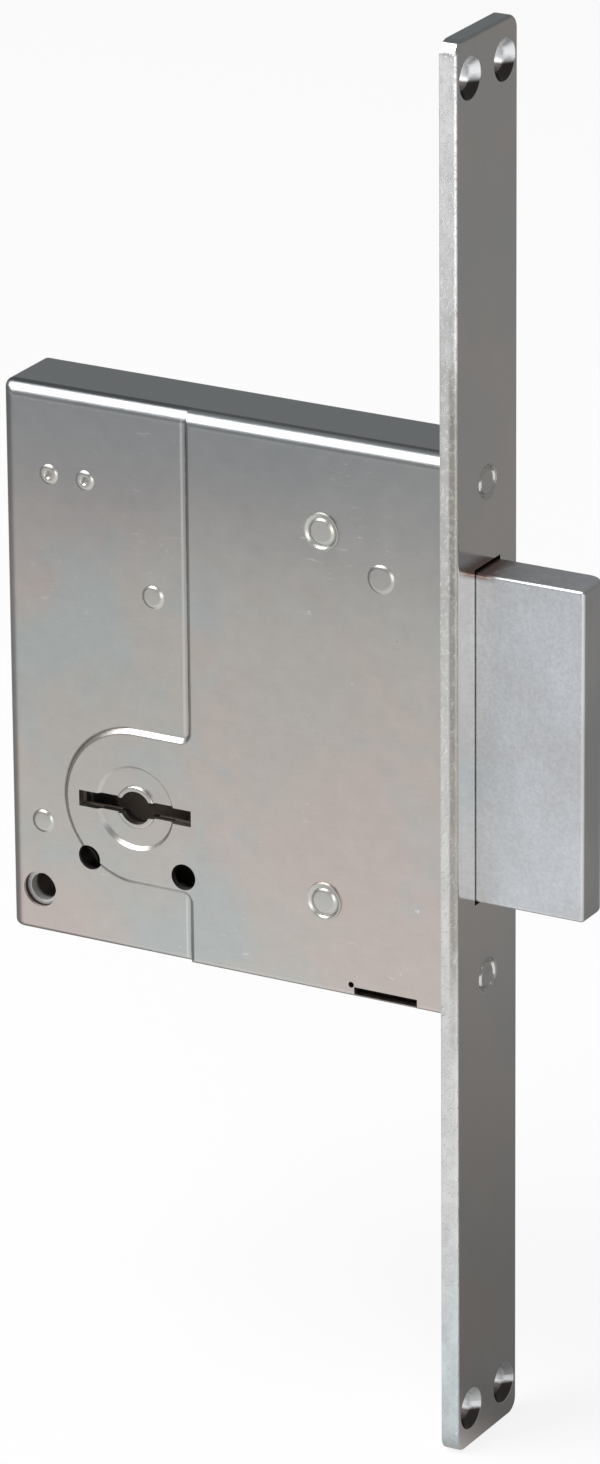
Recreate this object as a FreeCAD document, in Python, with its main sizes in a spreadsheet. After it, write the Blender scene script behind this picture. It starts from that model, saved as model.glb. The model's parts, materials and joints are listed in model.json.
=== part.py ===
import FreeCAD, Part
import os
import Sketcher

# Mortise deadlock for a double-bit key, shown upright with its bolt thrown.
# +X is the way the bolt is thrown, +Z is up, and the visible case face looks to -Y.
# The origin is the middle of the faceplate's rear face, which seats on the door's edge.
# All sizes are millimetres.

doc = FreeCAD.newDocument("mortise_deadlock")
sheet = doc.addObject("Spreadsheet::Sheet", "sizes")

DRIVING_SIZES = {
    # Faceplate
    "face_length": 235,
    "face_width": 20,
    "face_thickness": 3,
    "face_corner": 2.5,
    "face_edge_round": 0.6,
    "screw_end_inset": 6.5,
    "screw_side_land": 0.9,
    "screw_radius": 2.1,
    "countersink": 1.4,
    "face_rivet_radius": 2,
    "face_rivet_head": 3,
    "face_rivet_head_depth": 1.2,
    "face_rivet_tail_height": 1,
    "face_rivet_inset": 5.2,
    # Case
    "case_height": 93,
    "case_rise": 3.4,
    "case_bend": 2.4,
    "bottom_bend": 1.0,
    "case_corner": 1.2,
    "sheet_thickness": 1.2,
    "plate_clearance": 0.1,
    "lug_height": 8.6,
    "lug_reach": 10.4,
    "slot_setback": 5.9,
    "slot_length": 11.3,
    "slot_height": 1.3,
    "slot_lift": 0.5,
    "slot_depth": 2.2,
    "slot_relief_radius": 0.5,
    "slot_relief_gap": 0.55,
    "slot_relief_rise": 0.3,
    # Raised field of the case face
    "field_raise": 0.8,
    "field_lead": 9.8,
    "field_corner": 1.5,
    "field_edge_slope": 0.7,
    "field_edge_round": 0.5,
    "dimple_radius": 2.4,
    "dimple_height": 0.35,
    "dimple_slope": 0.33,
    "dimple_crown": 1.95,
    "dimple_round": 1.1,
    "dimple_setback": 12,
    "dimple_rise": 24.8,
    # Keyway and key guards
    "key_backset": 60,
    "key_drop": 21.6,
    "key_hole_radius": 2.8,
    "key_slot_width": 2.7,
    "bit_radius": 10,
    "bit_slot_gap": 0.3,
    "bit_tail_gap": 1,
    "dish_radius": 6.6,
    "dish_depth": 0.6,
    "dish_slope": 0.55,
    "collar_wall": 0.8,
    "collar_sink": 0.1,
    "collar_round": 0.35,
    "guard_rim": 0.8,
    "guard_room": 0.95,
    "guard_thickness": 0.5,
    "guard_gap": 0.08,
    # Fixing holes
    "handle_spread": 17.6,
    "handle_drop": 10.2,
    "handle_radius": 2.2,
    "tube_bore": 2.3,
    "tube_wall": 1.7,
    "tube_hole_radius": 3,
    "tube_rear_gap": 0.4,
    "tube_floor_gap": 2.1,
    # Posts and their riveted heads
    "post_setback": 22.5,
    "post_clearance": 0.2,
    "post_radius": 3.3,
    "post_tenon": 2.2,
    "post_head": 3.2,
    "head_height": 0.35,
    "pin_radius": 2.1,
    "pin_tenon": 1.4,
    "rear_pin_lead": 6.5,
    "rear_pin_drop": 11.5,
    "front_pin_inset": 4.5,
    "front_pin_drop": 6,
    "front_pin_gap": 0.9,
    "pillar_rear_inset": 6.5,
    "pillar_rise": 12,
    # Bolt
    "bolt_height": 55,
    "bolt_thickness": 8,
    "bolt_throw": 19,
    "bolt_rear": 11,
    "bolt_edge_round": 0.6,
    "bolt_nose_round": 3,
    "bolt_joint_length": 10,
    "bolt_slot_side": 0.25,
    "bolt_slot_end": 0.5,
    "bolt_rivet_radius": 2,
    "bolt_rivet_inset": 5,
    "bolt_rivet_spread": 36,
    # Tail plate and stump
    "tail_thickness": 3,
    "tail_lever_gap": 0.14,
    "tail_collar_gap": 0.54,
    "tail_rear_gap": 0.8,
    "tail_end": 4.75,
    "tail_shoulder": 20,
    "arm_bottom_rise": 6.2,
    "arm_top_rise": 6,
    "talon_width": 6,
    "talon_depth": 5,
    "pin_slot_gap": 0.15,
    "stump_inset": 6.5,
    "stump_rise": 0.6,
    "stump_size": 5,
    "stump_tenon": 1.75,
    # Levers
    "lever_thickness": 0.8,
    "lever_gap": 0.1,
    "lever_collar_gap": 0.1,
    "lever_front_gap": 2.5,
    "lever_rear_inset": 8,
    "lever_top_gap": 2,
    "tower_headroom": 7.9,
    "tower_length": 10.5,
    "lever_belly_half": 6.5,
    "lever_waist_rise": 15,
    "lever_drop": 1.8,
    "lever_lift": 1.2,
    "gate_gap": 0.2,
    "pocket_gap": 0.4,
    "belly_low": 7.6,
    "belly_step": 0.8,
    # Lever springs and their block
    "block_length": 13,
    "block_height": 8,
    "block_rear_inset": 5.4,
    "block_drop": 10.4,
    "block_rivet_inset": 3.3,
    "block_rivet_spread": 6.6,
    "block_rivet_radius": 1.2,
    "block_rivet_head": 1.7,
    "leaf_thickness": 0.4,
    "leaf_width": 0.6,
    "leaf_root": 8,
    "leaf_rise": 1.3,
    "leaf_tip_inset": 4,
    "leaf_tip_gap": 0.1,
}

LEVER_COUNT = 6
BELLY_PATTERN = (0, 2, 1, 3, 1, 2)

# How near two lengths read from a shape must be to count as one
TOLERANCE = 1e-4
# How far a tool runs past the solid that it cuts, and how far apart edges are told
OVERRUN = 1

class Size:
    """A length that carries its value and the sheet expression that gives it."""

    def __init__(self, value, text):
        self.value = float(value)
        self.text = text

    def combine(self, other, sign, value):
        return Size(value, "(" + self.text + " " + sign + " " + other.text + ")")

    def __add__(self, other):
        other = as_size(other)
        return self.combine(other, "+", self.value + other.value)

    def __radd__(self, other):
        return as_size(other) + self

    def __sub__(self, other):
        other = as_size(other)
        return self.combine(other, "-", self.value - other.value)

    def __rsub__(self, other):
        return as_size(other) - self

    def __mul__(self, factor):
        factor = as_size(factor)
        return self.combine(factor, "*", self.value * factor.value)

    def __rmul__(self, factor):
        return self * factor

    def __truediv__(self, divisor):
        divisor = as_size(divisor)
        return self.combine(divisor, "/", self.value / divisor.value)

    def __neg__(self):
        return Size(-self.value, "(0 - " + self.text + ")")


def as_size(number):
    return number if isinstance(number, Size) else Size(number, "(" + str(number) + ")")


class Sizes:
    """The driving sizes, each one an attribute with the name of its cell."""


def fill_sheet():
    """Write each driving size in the sheet and give its cell its name."""
    sizes = Sizes()
    for row, (name, number) in enumerate(DRIVING_SIZES.items(), start=1):
        sheet.set("A" + str(row), name)
        sheet.set("B" + str(row), str(number))
        sheet.setAlias("B" + str(row), name)
        setattr(sizes, name, Size(number, "sizes." + name))
    doc.recompute()
    return sizes


D = fill_sheet()

# Planes across X, from the faceplate to the rear of the case. The key's two turns each move the
# bolt half its throw, so the talon notches lie a quarter and three quarters of it from the key.
FACE_FRONT = D.face_thickness
CASE_FRONT = as_size(0)
KEY_X = FACE_FRONT - D.key_backset
BOLT_FRONT = FACE_FRONT + D.bolt_throw
BOLT_REAR = CASE_FRONT - D.bolt_rear
TAIL_FRONT = BOLT_REAR + D.bolt_joint_length
TALON_PLACES = [KEY_X + D.bolt_throw / 4, KEY_X + D.bolt_throw * 3 / 4]
TAIL_REAR = TALON_PLACES[0] - D.talon_width / 2 - D.tail_end
CASE_REAR = TAIL_REAR - D.bolt_throw - D.tail_rear_gap - D.sheet_thickness
LEVER_FRONT = BOLT_REAR - D.bolt_throw - D.lever_front_gap
LEVER_REAR = CASE_REAR + D.lever_rear_inset
TOWER_REAR = LEVER_FRONT - D.tower_length
STUMP_X = LEVER_FRONT - D.stump_inset
FRONT_PIN_X = LEVER_FRONT - D.front_pin_inset
REAR_PIN_X = TAIL_REAR + D.rear_pin_lead
POST_X = CASE_FRONT - D.post_setback
BLOCK_REAR = CASE_REAR + D.block_rear_inset
BLOCK_FRONT = BLOCK_REAR + D.block_length
TUBE_RADIUS = D.tube_bore + D.tube_wall
TUBE_X = CASE_REAR + D.sheet_thickness + D.tube_rear_gap + TUBE_RADIUS
PILLAR_X = CASE_REAR + D.pillar_rear_inset

# Planes across Z
CASE_LOW = D.case_rise - D.case_height / 2
CASE_HIGH = D.case_rise + D.case_height / 2
BOLT_LOW = D.case_rise - D.bolt_height / 2
BOLT_HIGH = D.case_rise + D.bolt_height / 2
POST_RISE = D.bolt_height / 2 + D.post_clearance + D.post_radius
KEY_Z = D.case_rise - D.key_drop
HANDLE_Z = KEY_Z - D.handle_drop
TUBE_Z = CASE_LOW + D.sheet_thickness + D.tube_floor_gap + TUBE_RADIUS
PILLAR_Z = TUBE_Z + D.pillar_rise
STUMP_Z = D.case_rise + D.stump_rise
BLOCK_HIGH = CASE_HIGH - D.block_drop
BLOCK_LOW = BLOCK_HIGH - D.block_height
LEVER_TOP = BLOCK_LOW - D.lever_top_gap
TOWER_TOP = CASE_HIGH - D.tower_headroom
REAR_PIN_Z = LEVER_TOP - D.rear_pin_drop
FRONT_PIN_Z = TOWER_TOP - D.front_pin_drop
LEAF_ROOT_LOW = BLOCK_LOW + D.leaf_rise
LEAF_TIP_LOW = LEVER_TOP + D.leaf_tip_gap

# Planes across Y, packed outwards from the bolt: tail plate, levers and near guard on one side,
# far guard on the other, and then the case walls
BOLT_NEAR = -D.bolt_thickness / 2
BOLT_FAR = D.bolt_thickness / 2
TAIL_NEAR = BOLT_FAR - D.tail_thickness
LEVER_PITCH = D.lever_thickness + D.lever_gap
LEVER_START = TAIL_NEAR - D.tail_lever_gap + D.lever_gap - LEVER_PITCH * LEVER_COUNT
COLLAR_LENGTH = D.guard_thickness + D.guard_gap * 2
FIELD_INSIDE = LEVER_START - D.lever_collar_gap - COLLAR_LENGTH - D.dish_depth
FIELD_FACE = FIELD_INSIDE - D.sheet_thickness
CASE_FACE = FIELD_FACE + D.field_raise
CASE_INSIDE = CASE_FACE + D.sheet_thickness
BACK_INSIDE = BOLT_FAR + D.tail_collar_gap + COLLAR_LENGTH + D.dish_depth
CASE_BACK = BACK_INSIDE + D.sheet_thickness
GUARD_NEAR_START = FIELD_INSIDE + D.dish_depth + D.guard_gap
GUARD_FAR_START = BACK_INSIDE - D.dish_depth - D.guard_gap - D.guard_thickness

# Radii about the key's centre
KEY_SLOT_REACH = D.bit_radius + D.bit_slot_gap
COLLAR_RADIUS = D.key_hole_radius + D.collar_wall
GUARD_HOLE = COLLAR_RADIUS + D.guard_gap
GUARD_RADIUS = KEY_SLOT_REACH + D.guard_rim
FIELD_LOBE = GUARD_RADIUS + D.guard_room + D.sheet_thickness


def bind(thing, path, size):
    """Tie one property to the sheet."""
    thing.setExpression(path, size.text)


def plane_of(body, role):
    """The body's own origin plane with this role."""
    for feature in body.Origin.OriginFeatures:
        if feature.Role == role:
            return feature
    raise ValueError(role)


def new_body(label):
    body = doc.addObject("PartDesign::Body", label)
    body.Label = label
    return body


def new_sketch(body, name, role="XZ_Plane", offset=None):
    """A sketch on one origin plane, moved along its normal by offset."""
    sketch = body.newObject("Sketcher::SketchObject", name)
    sketch.AttachmentSupport = [(plane_of(body, role), "")]
    sketch.MapMode = "FlatFace"
    if offset is not None:
        bind(sketch, "AttachmentOffset.Base.z", offset)
    return sketch


def place_point(sketch, geometry, point, place):
    """Fix one point of a sketch at two sizes from the sketch's origin."""
    for kind, size in (("DistanceX", place[0]), ("DistanceY", place[1])):
        index = sketch.addConstraint(Sketcher.Constraint(kind, -1, 1, geometry, point, size.value))
        sketch.setExpression("Constraints[" + str(index) + "]", size.text)


def draw_outline(sketch, points):
    """A closed outline of straight lines through the given corners."""
    places = [(as_size(across), as_size(up)) for across, up in points]
    first = sketch.GeometryCount
    for index, start in enumerate(places):
        end = places[(index + 1) % len(places)]
        begin_vector = FreeCAD.Vector(start[0].value, start[1].value, 0)
        end_vector = FreeCAD.Vector(end[0].value, end[1].value, 0)
        sketch.addGeometry(Part.LineSegment(begin_vector, end_vector))
    for index, start in enumerate(places):
        follower = first + (index + 1) % len(places)
        sketch.addConstraint(Sketcher.Constraint("Coincident", first + index, 2, follower, 1))
        place_point(sketch, first + index, 1, start)


def draw_box(sketch, low, high):
    """A rectangle between two opposite corners."""
    draw_outline(sketch, [low, (high[0], low[1]), high, (low[0], high[1])])


def draw_circle(sketch, centre, radius):
    """A circle about a placed centre."""
    middle = FreeCAD.Vector(centre[0].value, centre[1].value, 0)
    index = sketch.addGeometry(Part.Circle(middle, FreeCAD.Vector(0, 0, 1), radius.value))
    place_point(sketch, index, 3, centre)
    constraint = sketch.addConstraint(Sketcher.Constraint("Radius", index, radius.value))
    sketch.setExpression("Constraints[" + str(constraint) + "]", radius.text)


def extrude(body, kind, name, sketch, length):
    """A pad or pocket along the sketch's normal for a pad, against it for a pocket."""
    feature = body.newObject(kind, name)
    feature.Profile = sketch
    bind(feature, "Length", length)
    doc.recompute()
    return feature


def pad_layer(body, name, draw, near, far):
    """Add a layer between two Y planes, near at the smaller Y."""
    sketch = new_sketch(body, name + "_sketch", offset=-far)
    draw(sketch)
    return extrude(body, "PartDesign::Pad", name, sketch, far - near)


def cut_layer(body, name, draw, near, far):
    """Cut a layer between two Y planes, near at the smaller Y."""
    sketch = new_sketch(body, name + "_sketch", offset=-near)
    draw(sketch)
    return extrude(body, "PartDesign::Pocket", name, sketch, far - near)


def edges_where(feature, accept):
    """Names of the feature's edges whose bounding box is accepted."""
    names = []
    for index, edge in enumerate(feature.Shape.Edges, start=1):
        if accept(edge.BoundBox):
            names.append("Edge" + str(index))
    return names


def meets(first, second):
    """True where two lengths, the second maybe a Size, are the same."""
    value = second.value if isinstance(second, Size) else second
    return abs(first - value) < TOLERANCE


def round_edges(body, name, feature, accept, radius, kind="PartDesign::Fillet", path="Radius"):
    """Round or bevel the accepted edges of the body's last feature."""
    dressing = body.newObject(kind, name)
    dressing.Base = (feature, edges_where(feature, accept))
    bind(dressing, path, radius)
    doc.recompute()
    return dressing


def along(box, axis):
    """True where an edge runs along one axis only."""
    lengths = {"x": box.XLength, "y": box.YLength, "z": box.ZLength}
    run = lengths.pop(axis)
    return run > TOLERANCE and max(lengths.values()) < TOLERANCE


def is_ring(box, depth, radius):
    """True where an edge is a whole circle of this radius, square to Y at this depth."""
    flat = meets(box.YMin, depth) and meets(box.YMax, depth)
    return flat and meets(box.XLength, radius * 2) and meets(box.ZLength, radius * 2)


def draw_field(sketch, inset, overrun=0):
    """The raised field's straight-sided outline, drawn in by the inset."""
    left = KEY_X + D.field_lead + inset
    reach = FIELD_LOBE - inset
    low = CASE_LOW + inset - overrun
    high = CASE_HIGH - inset + overrun
    draw_outline(sketch, [
        (CASE_FRONT, low),
        (CASE_FRONT, high),
        (left, high),
        (left, KEY_Z + reach),
        (KEY_X, KEY_Z + reach),
        (KEY_X, KEY_Z - reach),
        (left, KEY_Z - reach),
        (left, low),
    ])


def draw_key_slot(sketch):
    """The level slot that the key's two bits pass through."""
    half = D.key_slot_width / 2
    draw_box(sketch, (KEY_X - KEY_SLOT_REACH, KEY_Z - half), (KEY_X + KEY_SLOT_REACH, KEY_Z + half))


def key_circle(radius):
    """A drawing of one circle about the key's centre."""
    return lambda sketch: draw_circle(sketch, (KEY_X, KEY_Z), radius)


def draw_handle_holes(sketch):
    for side in (-1, 1):
        draw_circle(sketch, (KEY_X + D.handle_spread * (side / 2), HANDLE_Z), D.handle_radius)


def post_places():
    """Places of the two front posts, upper first."""
    return [(POST_X, D.case_rise + POST_RISE), (POST_X, D.case_rise - POST_RISE)]


def block_rivet_places():
    """Places of the two rivets through the spring block, rear first."""
    height = (BLOCK_LOW + BLOCK_HIGH) / 2
    rear = BLOCK_REAR + D.block_rivet_inset
    return [(rear, height), (rear + D.block_rivet_spread, height)]


def draw_tenon_holes(sketch, with_front_pin):
    """The holes that the posts, pins, pillar and block rivets are riveted in."""
    for place in post_places():
        draw_circle(sketch, place, D.post_tenon)
    draw_circle(sketch, (REAR_PIN_X, REAR_PIN_Z), D.pin_tenon)
    draw_circle(sketch, (PILLAR_X, PILLAR_Z), D.pin_tenon)
    for place in block_rivet_places():
        draw_circle(sketch, place, D.block_rivet_radius)
    if with_front_pin:
        draw_circle(sketch, (FRONT_PIN_X, FRONT_PIN_Z), D.pin_tenon)


def face_rivet_heights():
    """Heights of the faceplate rivets, upper first."""
    return [CASE_HIGH - D.face_rivet_inset, CASE_LOW + D.face_rivet_inset]


def in_order(first, second, sign):
    """Two Y planes, the smaller first, where sign is the way from the first to the second."""
    return (first, second) if sign > 0 else (second, first)


def add_keyway(body, outer, inner, sign):
    """Dish, collar, key hole and slot of one case wall; sign is the way inwards, + on the face.

    The face's dish has a sloping edge and its collar a rounded rim. The back's are square.
    """
    floor = outer + D.dish_depth * sign
    back = inner + D.dish_depth * sign
    rim = outer + D.collar_sink * sign
    tip = back + COLLAR_LENGTH * sign
    middle = inner - D.sheet_thickness / 2 * sign
    pad_layer(body, "dish_back", key_circle(D.dish_radius), *in_order(middle, back, sign))
    dish = cut_layer(body, "dish", key_circle(D.dish_radius), *in_order(outer, floor, sign))
    if sign > 0:
        round_edges(
            body, "dish_slope", dish, lambda box: is_ring(box, outer, D.dish_radius),
            D.dish_slope, "PartDesign::Chamfer", "Size")
    collar = pad_layer(body, "collar", key_circle(COLLAR_RADIUS), *in_order(rim, tip, sign))
    if sign > 0:
        round_edges(
            body, "collar_round", collar, lambda box: is_ring(box, rim, COLLAR_RADIUS), D.collar_round)
    cut_layer(body, "key_hole", key_circle(D.key_hole_radius), *in_order(outer, tip, sign))
    cut_layer(body, "key_slot", draw_key_slot, *in_order(outer, tip, sign))


def make_field():
    """Raised field: a prism with a rounded step, trimmed by the case's own bent edges."""
    envelope = new_body("field_envelope")
    block = pad_layer(
        envelope, "envelope_block",
        lambda sketch: draw_box(sketch, (CASE_REAR, CASE_LOW), (CASE_FRONT, CASE_HIGH)),
        FIELD_FACE, CASE_FACE + D.case_bend)
    top = round_edges(
        envelope, "envelope_top", block,
        lambda box: along(box, "x") and meets(box.YMin, FIELD_FACE) and meets(box.ZMin, CASE_HIGH),
        D.case_bend)
    round_edges(
        envelope, "envelope_bottom", top,
        lambda box: along(box, "x") and meets(box.YMin, FIELD_FACE) and meets(box.ZMin, CASE_LOW),
        D.bottom_bend)
    body = new_body("field_prism")
    pad_layer(
        body, "field", lambda sketch: draw_field(sketch, as_size(0), D.case_bend),
        FIELD_FACE, CASE_FACE + D.case_bend)
    lobe = pad_layer(body, "field_lobe", key_circle(FIELD_LOBE), FIELD_FACE, CASE_FACE + D.case_bend)
    corners = round_edges(
        body, "field_corners", lobe,
        lambda box: along(box, "y") and meets(box.XMin, KEY_X + D.field_lead)
        and abs(box.ZMin - KEY_Z.value) < FIELD_LOBE.value + OVERRUN, D.field_corner)

    def is_step(box):
        flat = meets(box.YMin, FIELD_FACE) and meets(box.YMax, FIELD_FACE)
        return flat and box.XMax < CASE_FRONT.value - OVERRUN

    slope = round_edges(
        body, "field_slope", corners, is_step, D.field_edge_slope, "PartDesign::Chamfer", "Size")
    round_edges(body, "field_step_round", slope, is_step, D.field_edge_round)
    trim = body.newObject("PartDesign::Boolean", "field_trim")
    trim.Type = "Common"
    trim.addObject(envelope)
    doc.recompute()
    return body


def make_case_shell():
    """Folded shell: the visible face with its raised field, and the rear, top and bottom walls."""
    body = new_body("case_shell")
    block = pad_layer(
        body, "block",
        lambda sketch: draw_box(sketch, (CASE_REAR, CASE_LOW), (CASE_FRONT, CASE_HIGH)),
        CASE_FACE, CASE_BACK)

    def is_bend(box):
        rear = along(box, "z") and meets(box.XMin, CASE_REAR)
        top = along(box, "x") and meets(box.ZMin, CASE_HIGH)
        return meets(box.YMax, CASE_FACE) and (rear or top)

    bends = round_edges(body, "bends", block, is_bend, D.case_bend)
    corner = round_edges(
        body, "rear_corner", bends,
        lambda box: along(box, "y") and meets(box.XMin, CASE_REAR) and meets(box.ZMin, CASE_HIGH),
        D.case_corner)
    round_edges(
        body, "bottom_bend", corner,
        lambda box: along(box, "x") and meets(box.YMax, CASE_FACE) and meets(box.ZMin, CASE_LOW),
        D.bottom_bend)
    join = body.newObject("PartDesign::Boolean", "field_join")
    join.Type = "Fuse"
    join.addObject(make_field())
    doc.recompute()
    cut_layer(
        body, "hollow",
        lambda sketch: draw_box(
            sketch,
            (CASE_REAR + D.sheet_thickness, CASE_LOW + D.sheet_thickness),
            (CASE_FRONT, CASE_HIGH - D.sheet_thickness)),
        CASE_INSIDE, CASE_BACK)
    cut_layer(
        body, "field_hollow", lambda sketch: draw_field(sketch, D.sheet_thickness),
        FIELD_INSIDE, CASE_INSIDE)
    cut_layer(
        body, "lobe_hollow", key_circle(FIELD_LOBE - D.sheet_thickness), FIELD_INSIDE, CASE_INSIDE)
    add_keyway(body, FIELD_FACE, FIELD_INSIDE, 1)

    def draw_lugs(sketch):
        rear = CASE_FRONT - D.sheet_thickness
        top = CASE_HIGH - D.sheet_thickness
        low = CASE_LOW + D.sheet_thickness
        draw_box(sketch, (rear, top - D.lug_height), (CASE_FRONT, top))
        draw_box(sketch, (rear, low), (CASE_FRONT, low + D.lug_height))

    pad_layer(body, "lugs", draw_lugs, FIELD_INSIDE, FIELD_INSIDE + D.lug_reach)
    rivet_sketch = new_sketch(body, "lug_rivet_holes_sketch", "YZ_Plane", CASE_FRONT)
    for height in face_rivet_heights():
        draw_circle(rivet_sketch, (as_size(0), height), D.face_rivet_radius)
    extrude(body, "PartDesign::Pocket", "lug_rivet_holes", rivet_sketch, D.sheet_thickness)
    cut_layer(
        body, "tenon_holes", lambda sketch: draw_tenon_holes(sketch, False), FIELD_FACE, CASE_INSIDE)
    cut_layer(body, "handle_holes", draw_handle_holes, FIELD_FACE, CASE_INSIDE)
    cut_layer(
        body, "tube_hole", lambda sketch: draw_circle(sketch, (TUBE_X, TUBE_Z), D.tube_hole_radius),
        CASE_FACE, CASE_INSIDE)
    slot_front = CASE_FRONT - D.slot_setback
    slot_rear = slot_front - D.slot_length
    slot_low = CASE_LOW + D.slot_lift
    slot_high = slot_low + D.slot_height
    cut_layer(
        body, "bottom_slot",
        lambda sketch: draw_box(sketch, (slot_rear, slot_low), (slot_front, slot_high)),
        FIELD_FACE, FIELD_FACE + D.slot_depth)
    cut_layer(
        body, "slot_relief",
        lambda sketch: draw_circle(
            sketch, (slot_rear - D.slot_relief_gap, slot_high + D.slot_relief_rise),
            D.slot_relief_radius),
        FIELD_FACE, FIELD_FACE + D.slot_depth)
    dimple = pad_layer(
        body, "dimple",
        lambda sketch: draw_circle(
            sketch, (CASE_FRONT - D.dimple_setback, D.case_rise + D.dimple_rise), D.dimple_radius),
        FIELD_FACE - D.dimple_height, FIELD_FACE + D.sheet_thickness / 2)
    slope = round_edges(
        body, "dimple_slope", dimple,
        lambda box: is_ring(box, FIELD_FACE - D.dimple_height, D.dimple_radius),
        D.dimple_slope, "PartDesign::Chamfer", "Size")
    slope.ChamferType = "Two distances"
    bind(slope, "Size2", D.dimple_radius - D.dimple_crown)
    doc.recompute()
    round_edges(
        body, "dimple_round", slope,
        lambda box: is_ring(box, FIELD_FACE - D.dimple_height, D.dimple_crown), D.dimple_round)
    return body


def make_case_back():
    """Flat plate that closes the far side, with its own key hole and the same fixing holes."""
    body = new_body("case_back_plate")
    inset = D.sheet_thickness + D.plate_clearance
    pad_layer(
        body, "plate",
        lambda sketch: draw_box(
            sketch, (CASE_REAR + inset, CASE_LOW + inset), (CASE_FRONT, CASE_HIGH - inset)),
        BACK_INSIDE, CASE_BACK)
    add_keyway(body, CASE_BACK, BACK_INSIDE, -1)
    cut_layer(
        body, "tenon_holes", lambda sketch: draw_tenon_holes(sketch, True), BACK_INSIDE, CASE_BACK)
    cut_layer(body, "handle_holes", draw_handle_holes, BACK_INSIDE, CASE_BACK)
    cut_layer(
        body, "tube_hole", lambda sketch: draw_circle(sketch, (TUBE_X, TUBE_Z), D.tube_hole_radius),
        BACK_INSIDE, CASE_BACK)
    return body


def make_faceplate():
    """Long plate with the bolt slot, four countersunk screw holes and two rivet seats."""
    body = new_body("faceplate")
    outline = new_sketch(body, "outline", "YZ_Plane")
    half_width = D.face_width / 2
    half_length = D.face_length / 2
    draw_box(outline, (-half_width, -half_length), (half_width, half_length))
    plate = extrude(body, "PartDesign::Pad", "plate", outline, D.face_thickness)
    round_edges(body, "corners", plate, lambda box: along(box, "x"), D.face_corner)

    def cut_from_front(name, draw, depth):
        sketch = new_sketch(body, name + "_sketch", "YZ_Plane", FACE_FRONT)
        draw(sketch)
        return extrude(body, "PartDesign::Pocket", name, sketch, depth)

    def draw_screw_holes(sketch):
        across = half_width - D.screw_side_land - D.countersink - D.screw_radius
        up = half_length - D.screw_end_inset
        for side in (-1, 1):
            for end in (-1, 1):
                draw_circle(sketch, (across * side, up * end), D.screw_radius)

    def draw_rivets(radius):
        def draw(sketch):
            for height in face_rivet_heights():
                draw_circle(sketch, (as_size(0), height), radius)
        return draw

    def draw_bolt_slot(sketch):
        side = D.bolt_thickness / 2 + D.bolt_slot_side
        draw_box(
            sketch, (-side, BOLT_LOW - D.bolt_slot_end), (side, BOLT_HIGH + D.bolt_slot_end))

    cut_from_front("bolt_slot", draw_bolt_slot, D.face_thickness)
    cut_from_front("rivet_holes", draw_rivets(D.face_rivet_radius), D.face_thickness)
    cut_from_front("rivet_seats", draw_rivets(D.face_rivet_head), D.face_rivet_head_depth)
    holes = cut_from_front("screw_holes", draw_screw_holes, D.face_thickness)
    hole_width = 2 * D.screw_radius.value

    def on_front(box):
        return meets(box.XMin, FACE_FRONT) and meets(box.XMax, FACE_FRONT)

    sinks = round_edges(
        body, "countersinks", holes,
        lambda box: on_front(box) and meets(box.YLength, hole_width) and meets(box.ZLength, hole_width),
        D.countersink, "PartDesign::Chamfer", "Size")
    round_edges(
        body, "front_edges", sinks,
        lambda box: on_front(box) and max(-box.YMin, box.YMax) > half_width.value - TOLERANCE,
        D.face_edge_round)
    return body


def make_bolt():
    """Solid bolt head, stepped at the rear for the tail plate."""
    body = new_body("bolt_head")
    block = pad_layer(
        body, "block",
        lambda sketch: draw_box(sketch, (BOLT_REAR, BOLT_LOW), (BOLT_FRONT, BOLT_HIGH)),
        BOLT_NEAR, BOLT_FAR)
    nose = round_edges(
        body, "nose_round", block,
        lambda box: along(box, "z") and meets(box.XMin, BOLT_FRONT) and meets(box.YMin, BOLT_FAR),
        D.bolt_nose_round)
    round_edges(
        body, "edge_rounds", nose,
        lambda box: (along(box, "x") and meets(box.XMin, BOLT_REAR))
        or (meets(box.XMax, BOLT_FRONT) and not (along(box, "z") and box.YMin > 0)),
        D.bolt_edge_round)
    cut_layer(
        body, "tail_seat",
        lambda sketch: draw_box(
            sketch, (BOLT_REAR - OVERRUN, BOLT_LOW - OVERRUN), (TAIL_FRONT, BOLT_HIGH + OVERRUN)),
        TAIL_NEAR, BOLT_FAR + OVERRUN)
    cut_layer(body, "rivet_holes", draw_bolt_rivet_holes, BOLT_NEAR, BOLT_FAR)
    return body


def bolt_rivet_places():
    """Places of the rivets that join bolt head and tail, upper first."""
    across = BOLT_REAR + D.bolt_rivet_inset
    half = D.bolt_rivet_spread / 2
    return [(across, D.case_rise + half), (across, D.case_rise - half)]


def draw_bolt_rivet_holes(sketch):
    for place in bolt_rivet_places():
        draw_circle(sketch, place, D.bolt_rivet_radius)


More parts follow.
